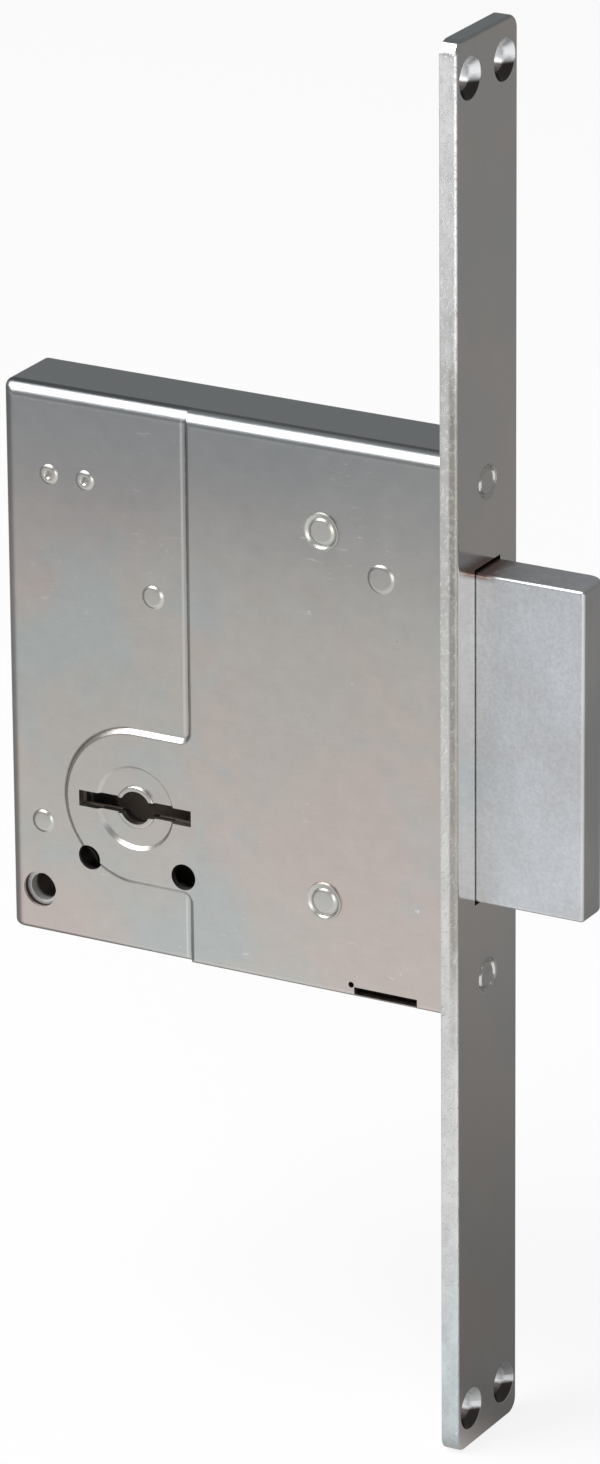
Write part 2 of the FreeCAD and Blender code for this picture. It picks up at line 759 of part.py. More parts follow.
def make_tail():
    """Tail plate with the guide slot, the two talon notches and the hole for the stump."""
    body = new_body("bolt_tail_plate")
    arm_bottom = KEY_Z + D.arm_bottom_rise
    arm_top = REAR_PIN_Z + D.arm_top_rise
    notch_roof = arm_bottom + D.talon_depth
    upper_rear = BOLT_REAR - D.tail_shoulder
    lower_rear = KEY_X + D.bit_radius + D.bit_tail_gap + D.bolt_throw
    half = D.talon_width / 2
    corners = [
        (TAIL_FRONT, BOLT_LOW),
        (TAIL_FRONT, BOLT_HIGH),
        (upper_rear, BOLT_HIGH),
        (upper_rear, arm_top),
        (TAIL_REAR, arm_top),
        (TAIL_REAR, arm_bottom),
    ]
    for centre in TALON_PLACES:
        corners.append((centre - half, arm_bottom))
        corners.append((centre - half, notch_roof))
        corners.append((centre + half, notch_roof))
        corners.append((centre + half, arm_bottom))
    corners.append((lower_rear, arm_bottom))
    corners.append((lower_rear, BOLT_LOW))
    pad_layer(body, "plate", lambda sketch: draw_outline(sketch, corners), TAIL_NEAR, BOLT_FAR)
    slot_half = D.pin_radius + D.pin_slot_gap
    cut_layer(
        body, "pin_slot",
        lambda sketch: draw_box(
            sketch,
            (REAR_PIN_X - slot_half, REAR_PIN_Z - slot_half),
            (REAR_PIN_X + D.bolt_throw + slot_half, REAR_PIN_Z + slot_half)),
        TAIL_NEAR, BOLT_FAR)
    cut_layer(body, "rivet_holes", draw_bolt_rivet_holes, TAIL_NEAR, BOLT_FAR)
    cut_layer(
        body, "stump_hole",
        lambda sketch: draw_circle(sketch, (STUMP_X, STUMP_Z), D.stump_tenon), TAIL_NEAR, BOLT_FAR)
    return body


def lever_span(index):
    """The two Y planes of one lever, counted from the case face inwards."""
    start = LEVER_START + LEVER_PITCH * index
    return start, start + D.lever_thickness


def draw_lever(sketch, belly):
    """Lever outline, its two guide slots and its window with two pockets and a gate."""
    waist = KEY_Z + D.lever_waist_rise
    belly_z = KEY_Z + belly
    draw_outline(sketch, [
        (KEY_X - D.lever_belly_half, belly_z),
        (KEY_X + D.lever_belly_half, belly_z),
        (LEVER_FRONT, waist),
        (LEVER_FRONT, TOWER_TOP),
        (TOWER_REAR, TOWER_TOP),
        (TOWER_REAR, LEVER_TOP),
        (LEVER_REAR, LEVER_TOP),
        (LEVER_REAR, waist),
    ])
    half = D.pin_radius + D.pin_slot_gap
    for across, up in ((REAR_PIN_X, REAR_PIN_Z), (FRONT_PIN_X, FRONT_PIN_Z)):
        draw_box(
            sketch,
            (across - half, up - half - D.lever_lift), (across + half, up + half + D.lever_drop))
    reach = D.stump_size / 2 + D.pocket_gap
    gate = D.stump_size / 2 + D.gate_gap
    front = STUMP_X + reach
    rear = STUMP_X - D.bolt_throw - reach
    front_wall = STUMP_X - reach
    rear_wall = STUMP_X - D.bolt_throw + reach
    low = STUMP_Z - gate - D.lever_lift
    high = STUMP_Z + gate + D.lever_drop
    draw_outline(sketch, [
        (front, low),
        (front, high),
        (front_wall, high),
        (front_wall, STUMP_Z + gate),
        (rear_wall, STUMP_Z + gate),
        (rear_wall, high),
        (rear, high),
        (rear, low),
        (rear_wall, low),
        (rear_wall, STUMP_Z - gate),
        (front_wall, STUMP_Z - gate),
        (front_wall, low),
    ])


def make_lever(index):
    body = new_body("lever_" + str(index + 1))
    belly = D.belly_low + D.belly_step * BELLY_PATTERN[index]
    pad_layer(body, "plate", lambda sketch: draw_lever(sketch, belly), *lever_span(index))
    return body


def leaf_span(index):
    """The two Y planes of one leaf, in the middle of its lever's layer."""
    start, end = lever_span(index)
    middle = (start + end) / 2
    return middle - D.leaf_width / 2, middle + D.leaf_width / 2


def make_leaf(index):
    """Flat spring: its root in the block, its tip on the lever's top edge."""
    body = new_body("lever_spring_" + str(index + 1))
    root_x = BLOCK_FRONT - D.leaf_root
    tip_x = TOWER_REAR - D.leaf_tip_inset
    pad_layer(
        body, "strip",
        lambda sketch: draw_outline(sketch, [
            (root_x, LEAF_ROOT_LOW),
            (BLOCK_FRONT, LEAF_ROOT_LOW),
            (tip_x, LEAF_TIP_LOW),
            (tip_x, LEAF_TIP_LOW + D.leaf_thickness),
            (BLOCK_FRONT, LEAF_ROOT_LOW + D.leaf_thickness),
            (root_x, LEAF_ROOT_LOW + D.leaf_thickness),
        ]),
        *leaf_span(index))
    return body


def make_spring_block():
    """Block with one slit for the root of each leaf spring."""
    body = new_body("spring_block")
    pad_layer(
        body, "block",
        lambda sketch: draw_box(sketch, (BLOCK_REAR, BLOCK_LOW), (BLOCK_FRONT, BLOCK_HIGH)),
        CASE_INSIDE, BACK_INSIDE)
    for index in range(LEVER_COUNT):
        cut_layer(
            body, "slit_" + str(index + 1),
            lambda sketch: draw_box(
                sketch,
                (BLOCK_FRONT - D.leaf_root, LEAF_ROOT_LOW),
                (BLOCK_FRONT, LEAF_ROOT_LOW + D.leaf_thickness)),
            *leaf_span(index))
    cut_layer(
        body, "rivet_holes",
        lambda sketch: [draw_circle(sketch, place, D.block_rivet_radius) for place in block_rivet_places()],
        CASE_INSIDE, BACK_INSIDE)
    return body


def make_guard(label, start):
    """Key guard disc that turns on the collar, with a slot in line with the keyhole."""
    body = new_body(label)
    end = start + D.guard_thickness
    pad_layer(body, "disc", key_circle(GUARD_RADIUS), start, end)
    cut_layer(body, "hole", key_circle(GUARD_HOLE), start, end)
    cut_layer(body, "slot", draw_key_slot, start, end)
    return body


def cylinder(name, place, radius, start, end, axis="y"):
    """A cylinder along Y or X between two planes; place is its other two coordinates."""
    part = doc.addObject("Part::Cylinder", name)
    bind(part, "Radius", radius)
    bind(part, "Height", end - start)
    if axis == "y":
        part.Placement.Rotation = FreeCAD.Rotation(FreeCAD.Vector(1, 0, 0), -90)
        bind(part, "Placement.Base.x", place[0])
        bind(part, "Placement.Base.y", start)
    else:
        part.Placement.Rotation = FreeCAD.Rotation(FreeCAD.Vector(0, 1, 0), 90)
        bind(part, "Placement.Base.x", start)
        bind(part, "Placement.Base.y", place[0])
    bind(part, "Placement.Base.z", place[1])
    return part


def stepped_pin(label, place, steps, axis="y"):
    """One turned pin made of cylinders on one line."""
    pieces = []
    for index, (radius, start, end) in enumerate(steps):
        pieces.append(cylinder(label + "_step_" + str(index), place, radius, start, end, axis))
    fuse = doc.addObject("Part::MultiFuse", label)
    fuse.Shapes = pieces
    fuse.Refine = True
    fuse.Label = label
    return fuse


def make_pins():
    """Every post, pin, pillar, tube and rivet."""
    pins = []
    for label, place in zip(("front_post_upper", "front_post_lower"), post_places()):
        pins.append(stepped_pin(label, place, [
            (D.post_head, FIELD_FACE - D.head_height, FIELD_FACE),
            (D.post_tenon, FIELD_FACE, CASE_BACK),
            (D.post_radius, FIELD_INSIDE, BACK_INSIDE),
        ]))
    for label, place in (
            ("lever_guide_pin_rear", (REAR_PIN_X, REAR_PIN_Z)), ("rear_pillar", (PILLAR_X, PILLAR_Z))):
        pins.append(stepped_pin(label, place, [
            (D.pin_radius, CASE_FACE - D.head_height, CASE_FACE),
            (D.pin_tenon, CASE_FACE, CASE_BACK),
            (D.pin_radius, CASE_INSIDE, BACK_INSIDE),
        ]))
    pins.append(stepped_pin("lever_guide_pin_front", (FRONT_PIN_X, FRONT_PIN_Z), [
        (D.pin_radius, FIELD_INSIDE + D.front_pin_gap, BACK_INSIDE),
        (D.pin_tenon, BACK_INSIDE, CASE_BACK),
    ]))
    for index, place in enumerate(block_rivet_places(), start=1):
        pins.append(stepped_pin("spring_block_rivet_" + str(index), place, [
            (D.block_rivet_head, CASE_FACE - D.head_height, CASE_FACE),
            (D.block_rivet_radius, CASE_FACE, CASE_BACK),
        ]))
    for label, place in zip(("bolt_rivet_upper", "bolt_rivet_lower"), bolt_rivet_places()):
        pins.append(cylinder(label, place, D.bolt_rivet_radius, BOLT_NEAR, BOLT_FAR))
    for label, height in zip(("faceplate_rivet_upper", "faceplate_rivet_lower"), face_rivet_heights()):
        rear = CASE_FRONT - D.sheet_thickness
        pins.append(stepped_pin(label, (as_size(0), height), [
            (D.face_rivet_head, FACE_FRONT - D.face_rivet_head_depth, FACE_FRONT),
            (D.face_rivet_radius, rear, FACE_FRONT - D.face_rivet_head_depth),
            (D.face_rivet_head, rear - D.face_rivet_tail_height, rear),
        ], "x"))
    return pins


def make_tube():
    """Spacer tube around the fixing hole in the lower rear corner."""
    outer = cylinder("tube_outside", (TUBE_X, TUBE_Z), TUBE_RADIUS, CASE_INSIDE, BACK_INSIDE)
    inner = cylinder("tube_bore_cut", (TUBE_X, TUBE_Z), D.tube_bore, CASE_INSIDE, BACK_INSIDE)
    tube = doc.addObject("Part::Cut", "corner_spacer_tube")
    tube.Base = outer
    tube.Tool = inner
    tube.Label = "corner_spacer_tube"
    return tube


def make_stump():
    """Square stump that runs in the lever windows, with a round tenon through the tail plate."""
    block = doc.addObject("Part::Box", "stump_block")
    bind(block, "Length", D.stump_size)
    bind(block, "Width", TAIL_NEAR - LEVER_START)
    bind(block, "Height", D.stump_size)
    bind(block, "Placement.Base.x", STUMP_X - D.stump_size / 2)
    bind(block, "Placement.Base.y", LEVER_START)
    bind(block, "Placement.Base.z", STUMP_Z - D.stump_size / 2)
    tenon = cylinder("stump_tenon", (STUMP_X, STUMP_Z), D.stump_tenon, TAIL_NEAR, BOLT_FAR)
    stump = doc.addObject("Part::MultiFuse", "bolt_stump")
    stump.Shapes = [block, tenon]
    stump.Label = "bolt_stump"
    return stump


def make_all():
    pieces = [make_case_shell(), make_case_back(), make_faceplate(), make_bolt(), make_tail()]
    pieces += [make_lever(index) for index in range(LEVER_COUNT)]
    pieces += [make_leaf(index) for index in range(LEVER_COUNT)]
    pieces.append(make_spring_block())
    pieces.append(make_guard("key_guard_near", GUARD_NEAR_START))
    pieces.append(make_guard("key_guard_far", GUARD_FAR_START))
    pieces += make_pins()
    pieces.append(make_tube())
    pieces.append(make_stump())
    doc.recompute()
    return pieces


def check(pieces):
    """Stop before anything is written if the model has a failed feature or a bad solid."""
    for thing in doc.Objects:
        if "Invalid" in thing.State or "Error" in thing.State:
            raise RuntimeError(thing.Name + " failed: " + str(thing.State))
    for piece in pieces:
        shape = piece.Shape
        if shape.isNull() or not shape.isValid() or len(shape.Solids) != 1:
            raise RuntimeError(piece.Label + " has no single valid solid")


pieces = make_all()
check(pieces)
os.makedirs("parts", exist_ok=True)
for piece in pieces:
    piece.Shape.exportStep("parts/" + piece.Label + ".step")
    print(piece.Label, round(piece.Shape.Volume, 2))
print(len(pieces), "pieces written")
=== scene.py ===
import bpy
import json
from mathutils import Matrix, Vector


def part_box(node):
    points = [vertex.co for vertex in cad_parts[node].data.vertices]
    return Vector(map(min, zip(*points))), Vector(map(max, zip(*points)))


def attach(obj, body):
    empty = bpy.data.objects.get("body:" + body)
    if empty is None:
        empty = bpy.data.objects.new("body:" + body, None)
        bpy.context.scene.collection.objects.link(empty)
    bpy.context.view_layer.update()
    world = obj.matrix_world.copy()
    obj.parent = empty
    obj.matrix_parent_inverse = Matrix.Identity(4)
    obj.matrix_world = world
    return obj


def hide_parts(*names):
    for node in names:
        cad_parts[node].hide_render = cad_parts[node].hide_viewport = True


bl_info = {
    "name": "Mortise deadlock",
    "version": (1, 0, 0),
    "blender": (4, 5, 0),
    "location": "View3D > Sidebar > Lock",
    "description": "Finishes and small fittings of a mortise deadlock with a double-bit keyhole",
    "category": "Add Mesh",
}

import json
from math import pi, radians

import bmesh
import bpy
from bpy.props import FloatProperty, FloatVectorProperty, IntProperty, PointerProperty
from mathutils import Euler, Matrix, Vector

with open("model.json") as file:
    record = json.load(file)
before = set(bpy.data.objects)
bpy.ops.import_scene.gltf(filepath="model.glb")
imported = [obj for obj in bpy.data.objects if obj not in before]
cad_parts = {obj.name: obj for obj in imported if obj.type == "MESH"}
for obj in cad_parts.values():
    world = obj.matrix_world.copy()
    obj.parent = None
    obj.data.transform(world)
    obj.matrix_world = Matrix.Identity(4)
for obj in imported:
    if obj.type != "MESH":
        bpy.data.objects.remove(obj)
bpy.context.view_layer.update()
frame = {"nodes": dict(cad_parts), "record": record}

MM = 0.001


# Places read from the CAD frame

SHELL_LOW, SHELL_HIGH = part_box("case_shell")
FACE_LOW, FACE_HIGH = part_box("faceplate")
BOLT_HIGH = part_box("bolt_head")[1]
GUARD_LOW, GUARD_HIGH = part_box("key_guard_near")
KEY_X = (GUARD_LOW.x + GUARD_HIGH.x) / 2
KEY_Z = (GUARD_LOW.z + GUARD_HIGH.z) / 2


# Places that the frame doesn't give. In a pair, a mask is 0 at the first and 1 at the second.
# STEP is the upright edge of the raised field, LOBE its round part about the keyhole, SINK a countersink

OUTER_FACE = (-5.9 * MM, -6.1 * MM)
STEP_X = -47.2 * MM
STEP_ENDS = (12.6 * MM, 14.2 * MM)
LOBE_RADIUS = 13.25 * MM
LOBE_SIDE = 3 * MM
DIRT_AND_SHADE_LINE = (0.34 * MM, 0.10 * MM)
SHINE_OFFSET = 0.85 * MM
SHINE_LINE = (0.32 * MM, 0.12 * MM)
SHINE_ENDS = (13.0 * MM, 14.6 * MM)
UPPER_CASE = (10 * MM, 52 * MM)
TOP_WALL = (SHELL_HIGH.z - 1.2 * MM, SHELL_HIGH.z - 0.4 * MM)
BEND_Y = -4.3 * MM
BEND_LINE = (0.75 * MM, 0.35 * MM)
INSIDE_BACK = (5.77 * MM, 5.5 * MM)
FACE_SIDES = (9.45 * MM, 9.8 * MM)
FACE_REAR = (0.25 * MM, 0.05 * MM)
FACE_TOP = (FACE_HIGH.z - 0.5 * MM, FACE_HIGH.z - 0.2 * MM)
SIDE_MIDDLE = 14 * MM
SIDE_BY_CASE = (62 * MM, 38 * MM)
SHEAR_END = (1.35 * MM, 1.85 * MM)
SCREW_ROW = 111 * MM
SCREW_SIDE = 5.6 * MM
SINK_RIM = (3.55 * MM, 3.4 * MM)
SINK_TOP = (FACE_HIGH.x - 0.02 * MM, FACE_HIGH.x - 0.12 * MM)
SINK_LOW_PART = (-0.8 * MM, -1.4 * MM)
SCREW_BORE = (2.4 * MM, 2.2 * MM)
BORE_DEPTH = (2.4 * MM, 1.7 * MM)
BOLT_END = (BOLT_HIGH.x - 0.5 * MM, BOLT_HIGH.x - 0.15 * MM)
BOLT_TOP = (BOLT_HIGH.z - 1.4 * MM, BOLT_HIGH.z - 0.4 * MM)
BOLT_IN_CASE = (-1.0 * MM, -3.0 * MM)
BOLT_RUST_AND_SHADOW = (9 * MM, 6 * MM)


# Further colours of the finishes, and of painted highlights and shade

WORN_ZINC_AND_HIGHLIGHT = (0.90, 0.90, 0.90)
TOP_WALL_TINT_AND_SHADE = (0.44, 0.475, 0.49)
BEND_SHADE = (0.10, 0.11, 0.12)
SIDE_FOOT_TINT_AND_SHEEN = (0.70, 0.765, 0.775)
SIDE_HEAD_HIGHLIGHT = (0.97, 0.97, 0.97)
SHEARED_ZINC = (0.86, 0.85, 0.82)
BROKEN_ZINC = (0.50, 0.48, 0.44)
CHIPPED_ZINC = (0.97, 0.97, 0.96)
SPECKED_ZINC = (0.85, 0.85, 0.85)
FACE_TOP_TINT_AND_SHADE = (0.36, 0.42, 0.435)
SINK_ZINC_AND_GLARE = (0.93, 0.94, 0.95)
BOLT_CLOUD = (0.71, 0.725, 0.755)
BOLT_END_CLOUD = (0.62, 0.62, 0.61)
RUST_AND_SHADOW_BROWN = (0.20, 0.10, 0.065)
RIVET_CLOUD = (0.60, 0.60, 0.575)
PALE_TUBE = (0.86, 0.87, 0.88)
TUBE_BORE_SHADE = (0.075, 0.045, 0.035)
INNER_CLOUD = (0.30, 0.28, 0.25)
LEVER_CLOUD = (0.33, 0.32, 0.29)
STRAW_TINT = (0.24, 0.17, 0.12)


# Shader maths

class Value:
    """A number or vector that comes out of a node. Python's signs add the Math nodes."""

    def __init__(self, paint, socket):
        self.paint = paint
        self.socket = socket

    def beside(self, name):
        """Another output of the same node."""
        return Value(self.paint, self.socket.node.outputs[name])

    def maths(self, operation, *others):
        return self.paint.node("ShaderNodeMath", {"operation": operation}, self, *others)

    def __add__(self, other):
        return self.maths("ADD", other)

    __radd__ = __add__

    def __mul__(self, other):
        return self.maths("MULTIPLY", other)

    __rmul__ = __mul__

    def __sub__(self, other):
        return self.maths("SUBTRACT", other)

    def __rsub__(self, other):
        return self.paint.node("ShaderNodeMath", {"operation": "SUBTRACT"}, other, self)

    def __pow__(self, other):
        return self.maths("POWER", other)

    def __abs__(self):
        return self.maths("ABSOLUTE")

    def under(self, other):
        return self.maths("LESS_THAN", other)

    def least(self, other):
        return self.maths("MINIMUM", other)

    def most(self, other):
        return self.maths("MAXIMUM", other)

    def rise(self, start, end):
        """0 up to start and 1 from end on, smooth in between. It falls where end is below start."""
        if end < start:
            return 1 - self.rise(end, start)
        settings = {"interpolation_type": "SMOOTHSTEP", "clamp": True}
        return self.paint.node(
            "ShaderNodeMapRange", settings, out="Result", Value=self, From_Min=start, From_Max=end,
            To_Min=0.0, To_Max=1.0)


class Paint:
    """One material and the nodes in it."""

    def __init__(self, name):
        self.material = bpy.data.materials.new(name)
        self.material.use_nodes = True
        self.tree = self.material.node_tree
        self.tree.nodes.clear()
        self.output = self.tree.nodes.new("ShaderNodeOutputMaterial")

    def feed(self, socket, value):
        """Links a value to a socket, or sets a plain number or colour on it. None leaves it as it is."""
        if isinstance(value, Value):
            self.tree.links.new(value.socket, socket)
        elif value is not None:
            socket.default_value = value

    def node(self, kind, settings=None, *values, out=0, **inputs):
        """Adds one node: its settings, then its sockets by place, or by name with _ for a space."""
        made = self.tree.nodes.new(kind)
        for key, value in (settings or {}).items():
            setattr(made, key, value)
        for socket, value in zip(made.inputs, values):
            self.feed(socket, value)
        for key, value in inputs.items():
            self.feed(made.inputs[key.replace("_", " ")], value)
        return Value(self, made.outputs[out])

    def place(self, stretch=(1, 1, 1), turn=(0, 0, 0)):
        """Object coordinates in metres, stretched and turned."""
        where = self.node("ShaderNodeTexCoord", out="Object")
        if stretch == (1, 1, 1) and turn == (0, 0, 0):
            return where
        return self.node("ShaderNodeMapping", None, Vector=where, Scale=stretch, Rotation=turn)

    def parts(self, where):
        """The x, y and z of a vector."""
        split = self.node("ShaderNodeSeparateXYZ", None, where)
        return [split.beside(name) for name in "XYZ"]

    def noise(self, where, grain, detail=2.0, roughness=0.5, distortion=0.0):
        """A noise value of about 0 to 1. grain is the size of its blobs in millimetres."""
        return self.node(
            "ShaderNodeTexNoise", {"noise_dimensions": "3D"}, out="Fac", Vector=where,
            Scale=1 / (grain * MM), Detail=detail, Roughness=roughness, Distortion=distortion)

    def specks(self, where, spacing, radius, share):
        """1 in small round dots. spacing and radius are in millimetres, share is how many cells have one."""
        distance = self.node(
            "ShaderNodeTexVoronoi", {"feature": "F1"}, out="Distance", Vector=where,
            Scale=1 / (spacing * MM))
        chance = self.parts(distance.beside("Color"))[0]
        size = radius / spacing
        return distance.rise(size, size * 0.6) * chance.under(share)

    def blend(self, factor, first, second):
        """A colour between two colours. The node has five other sockets before the two for colours."""
        settings = {"data_type": "RGBA", "clamp_factor": True}
        skipped = [None] * 5
        return self.node(
            "ShaderNodeMix", settings, factor, *skipped, shade(first), shade(second), out=2)

    def lift(self, colour, amount):
        """A colour made lighter or darker by a factor that varies."""
        return self.node(
            "ShaderNodeVectorMath", {"operation": "SCALE"}, Vector=colour, Scale=amount)

    def bump(self, height, depth, strength=0.6):
        """A normal from a height of 0 to 1, worth depth in millimetres."""
        return self.node("ShaderNodeBump", None, Height=height, Distance=depth * MM, Strength=strength)

    def metal(self, colour, roughness, normal, metallic=1.0):
        """The metal shader that the material ends in."""
        shader = self.node(
            "ShaderNodeBsdfPrincipled", None, Base_Color=colour, Roughness=roughness,
            Metallic=metallic, Normal=normal, out="BSDF")
        return self.finish(shader)

    def finish(self, shader):
        """Ends the material in a shader."""
        self.feed(self.output.inputs["Surface"], shader)
        return self.material


def shade(colour):
    """A colour as a socket takes it."""
    if isinstance(colour, Value):
        return colour
    return (*tuple(colour)[:3], 1.0)


# Choices that a user would change

def colour_choice(name, description, default):
    return FloatVectorProperty(
        name=name, description=description, default=default, size=3, subtype="COLOR", min=0, max=1)


def length_choice(name, description, millimetres):
    return FloatProperty(
        name=name, description=description, default=millimetres * MM, min=0, subtype="DISTANCE",
        unit="LENGTH")


class LockFinishes(bpy.types.PropertyGroup):
    case_colour: colour_choice("Case", "Satin zinc of the case", (0.62, 0.595, 0.56))
    case_warm: colour_choice("Case, warm tint", "Yellow and pink stains in the zinc", (0.655, 0.58, 0.545))
    case_cool: colour_choice("Case, cool tint", "Green and blue stains in the zinc", (0.555, 0.605, 0.60))
    # Partly a blue-grey tint of the zinc, partly painted shade that darkens the upper face.
    case_dark: colour_choice("Case, upper tint", "Darker blue-grey zinc near the top", (0.375, 0.39, 0.40))
    face_colour: colour_choice("Faceplate", "Polished front of the faceplate", (0.78, 0.735, 0.70))
    face_cool: colour_choice("Faceplate, cool tint", "Bluish stains on the front", (0.71, 0.715, 0.69))
    side_colour: colour_choice("Faceplate side", "Sheared sides of the faceplate", (0.80, 0.80, 0.79))
    bolt_colour: colour_choice("Bolt", "Milled sides of the bolt", (0.78, 0.82, 0.86))
    bolt_end_colour: colour_choice("Bolt end", "Brushed end of the bolt", (0.70, 0.69, 0.67))
    rivet_colour: colour_choice("Rivets", "Posts, pins and rivets", (0.63, 0.61, 0.57))
    inner_colour: colour_choice("Inner parts", "Tail plate, stump, guards and block", (0.40, 0.29, 0.22))
    lever_colour: colour_choice("Levers", "Stamped levers", (0.40, 0.37, 0.31))
    spring_colour: colour_choice("Springs", "Blued leaf springs", (0.10, 0.12, 0.18))
    # Also the colour of painted shade inside the case, in the holes and along the step.
    grime: colour_choice("Grime", "Dirt in corners and holes", (0.045, 0.034, 0.03))


class LockFittings(bpy.types.PropertyGroup):
    large_crown: length_choice("Large crown", "Radius of the flat crown of a large head", 2.2)
    large_groove: length_choice("Large groove", "Radius of the groove round a large crown", 2.33)
    large_rim: length_choice("Large rim", "Radius of the raised rim of a large head", 2.88)
    small_crown: length_choice("Small crown", "Radius of the flat crown of a small head", 1.95)
    pit_radius: length_choice("Pit", "Radius of the pit in a small rivet", 0.55)
    pit_depth: length_choice("Pit depth", "Depth of the pit in a small rivet", 0.5)
    face_groove: length_choice("Faceplate rivet ring", "Radius of the ring in a faceplate rivet", 2.35)
    ring_steps: IntProperty(name="Steps", description="Faces round each turned piece", default=72, min=12)


class LockStudio(bpy.types.PropertyGroup):
    key_power: FloatProperty(name="Key light", description="Radiance of the softbox", default=5.0, min=0)
    side_power: FloatProperty(
        name="Side light", description="Radiance of the small softbox on the right", default=2.6, min=0)
    fill: FloatProperty(name="Fill", description="Strength of the world", default=0.24, min=0)
    floor_colour: colour_choice("Floor", "Pale floor", (0.8, 0.8, 0.8))
    floor_behind: FloatProperty(
        name="Floor behind", description="How bright the floor behind the lock is in reflections",
        default=0.215, min=0, max=1)
    azimuth: FloatProperty(
        name="Camera azimuth", description="Camera's turn round the lock, from its face",
        default=radians(29.254), subtype="ANGLE", unit="ROTATION")
    elevation: FloatProperty(
        name="Camera elevation", description="Camera's height above the level",
        default=radians(20.878), subtype="ANGLE", unit="ROTATION")
    roll: FloatProperty(
        name="Camera roll", description="Camera's turn about its own axis", default=radians(-0.469),
        subtype="ANGLE", unit="ROTATION")
    lens: FloatProperty(
        name="Lens", description="Focal length", default=214.41, min=1, subtype="DISTANCE_CAMERA",
        unit="CAMERA")


class LockSettings(bpy.types.PropertyGroup):
    finishes: PointerProperty(type=LockFinishes)
    fittings: PointerProperty(type=LockFittings)
    studio: PointerProperty(type=LockStudio)


# Materials

def case_zinc(finishes):
    """Satin zinc on rolled sheet: cloudy tints, fine grain, scuffs, specks, and dirt with painted shade
    along the steps. Painted highlight beside the step, and painted shade towards the top, on the top wall
    and inside.
    """
    paint = Paint("case_zinc_look")
    here = paint.place()
    x, y, z = paint.parts(here)
    cloud = paint.noise(here, 38, 3, 0.5, 0.5)
    second = paint.noise(paint.place(turn=(0.4, 0.8, 0.3)), 22, 3, 0.55, 0.7)
    colour = paint.blend(cloud.rise(0.38, 0.60), finishes.case_colour, finishes.case_warm)
    colour = paint.blend(second.rise(0.46, 0.68) * 0.8, colour, finishes.case_cool)
    # Darker and bluer towards the top: a tint of the zinc with painted shade.
    upper = (z + (cloud - 0.5) * 24 * MM).rise(*UPPER_CASE)
    colour = paint.blend(upper, colour, finishes.case_dark)
    grain = paint.noise(here, 0.34, 4, 0.62)
    rolled = paint.noise(paint.place(stretch=(0.06, 1, 1)), 0.30, 3, 0.6)
    middling = paint.noise(here, 3.2, 3, 0.6)
    tone = 0.83 + grain * 0.10 + rolled * 0.08 + middling * 0.15 + cloud * 0.04
    colour = paint.lift(colour, tone)
    handled = paint.noise(here, 12, 2, 0.5).rise(0.56, 0.68)
    streaks = paint.noise(
        paint.place(stretch=(0.25, 1, 1), turn=(0, 0.35, 0)), 0.7, 3, 0.6).rise(0.60, 0.72) * 0.6
    specks = paint.specks(here, 8.5, 0.50, 0.40).most(paint.specks(here, 4.5, 0.22, 0.3) * 0.8)
    specks = specks * grain.rise(0.35, 0.6)
    worn = (handled * streaks).most(specks).most(edge_wear(paint, x, z))
    colour = paint.blend(worn * 0.75, colour, WORN_ZINC_AND_HIGHLIGHT)
    # Painted highlight: a thin bright line beside the upright part of the step, in the worn zinc colour.
    colour = paint.blend(step_shine(x, y, z) * 0.45, colour, WORN_ZINC_AND_HIGHLIGHT)
    pits = paint.specks(paint.place(turn=(0.2, 0.1, 0.7)), 7, 0.16, 0.2)
    # The pits are real. Along the step's foot the dark line is dirt with painted shade.
    dirt_and_shade = step_dirt_and_shade(paint, x, y, z).most(pits)
    colour = paint.blend(dirt_and_shade * 0.62, colour, finishes.grime)
    # The top wall is painted darker and cooler than the face: painted shade with a cool tint.
    on_top = z.rise(*TOP_WALL)
    colour = paint.blend(on_top * 0.8, colour, TOP_WALL_TINT_AND_SHADE)
    behind_bend = on_top * abs(y - BEND_Y).rise(*BEND_LINE)
    colour = paint.blend(behind_bend * 0.75, colour, BEND_SHADE)
    # Painted shade on the walls' inner sides and in the holes.
    inside = inner_side_shade(x, y, z)
    colour = paint.blend(inside * 0.96, colour, finishes.grime)
    rough = 0.25 + middling * 0.05 + grain * 0.08 + second * 0.04 - worn * 0.06 + inside * 0.3
    height = grain * 0.5 + rolled * 0.4 + worn * 0.5
    return paint.metal(colour, rough, paint.bump(height, 0.012, 0.8))


def edge_wear(paint, x, z):
    """1 in a ragged strip along the outer edges of the case."""
    ragged = paint.noise(paint.place(), 0.9, 3, 0.6) * 0.9 * MM
    top = (z + ragged).rise(SHELL_HIGH.z - 0.15 * MM, SHELL_HIGH.z + 0.15 * MM)
    bottom = (z - ragged).rise(SHELL_LOW.z + 0.1 * MM, SHELL_LOW.z - 0.2 * MM)
    rear = (x - ragged).rise(SHELL_LOW.x + 0.1 * MM, SHELL_LOW.x - 0.2 * MM)
    return top.most(bottom).most(rear) * 0.35


def step_dirt_and_shade(paint, x, y, z):
    """1 along the foot of the raised field's step, on its straight part and the left of its round part: dirt
    and polish, with painted shade.
    """
    from_key = ((x - KEY_X) ** 2.0 + (z - KEY_Z) ** 2.0) ** 0.5
    by_line = abs(x - STEP_X).rise(*DIRT_AND_SHADE_LINE) * abs(z - KEY_Z).rise(*STEP_ENDS)
    round_lobe = abs(from_key - LOBE_RADIUS).rise(*DIRT_AND_SHADE_LINE) * x.rise(KEY_X, KEY_X - LOBE_SIDE)
    outside = y.rise(*OUTER_FACE)
    ragged = paint.noise(paint.place(), 2.5, 2, 0.5).rise(0.2, 0.6)
    return by_line.most(round_lobe) * outside * (0.55 + ragged * 0.45)


def step_shine(x, y, z):
    """1 in a thin bright line on the lower face, along the upright part of the step."""
    beside = abs(x - STEP_X + SHINE_OFFSET).rise(*SHINE_LINE)
    return beside * abs(z - KEY_Z).rise(*SHINE_ENDS) * y.rise(*OUTER_FACE)


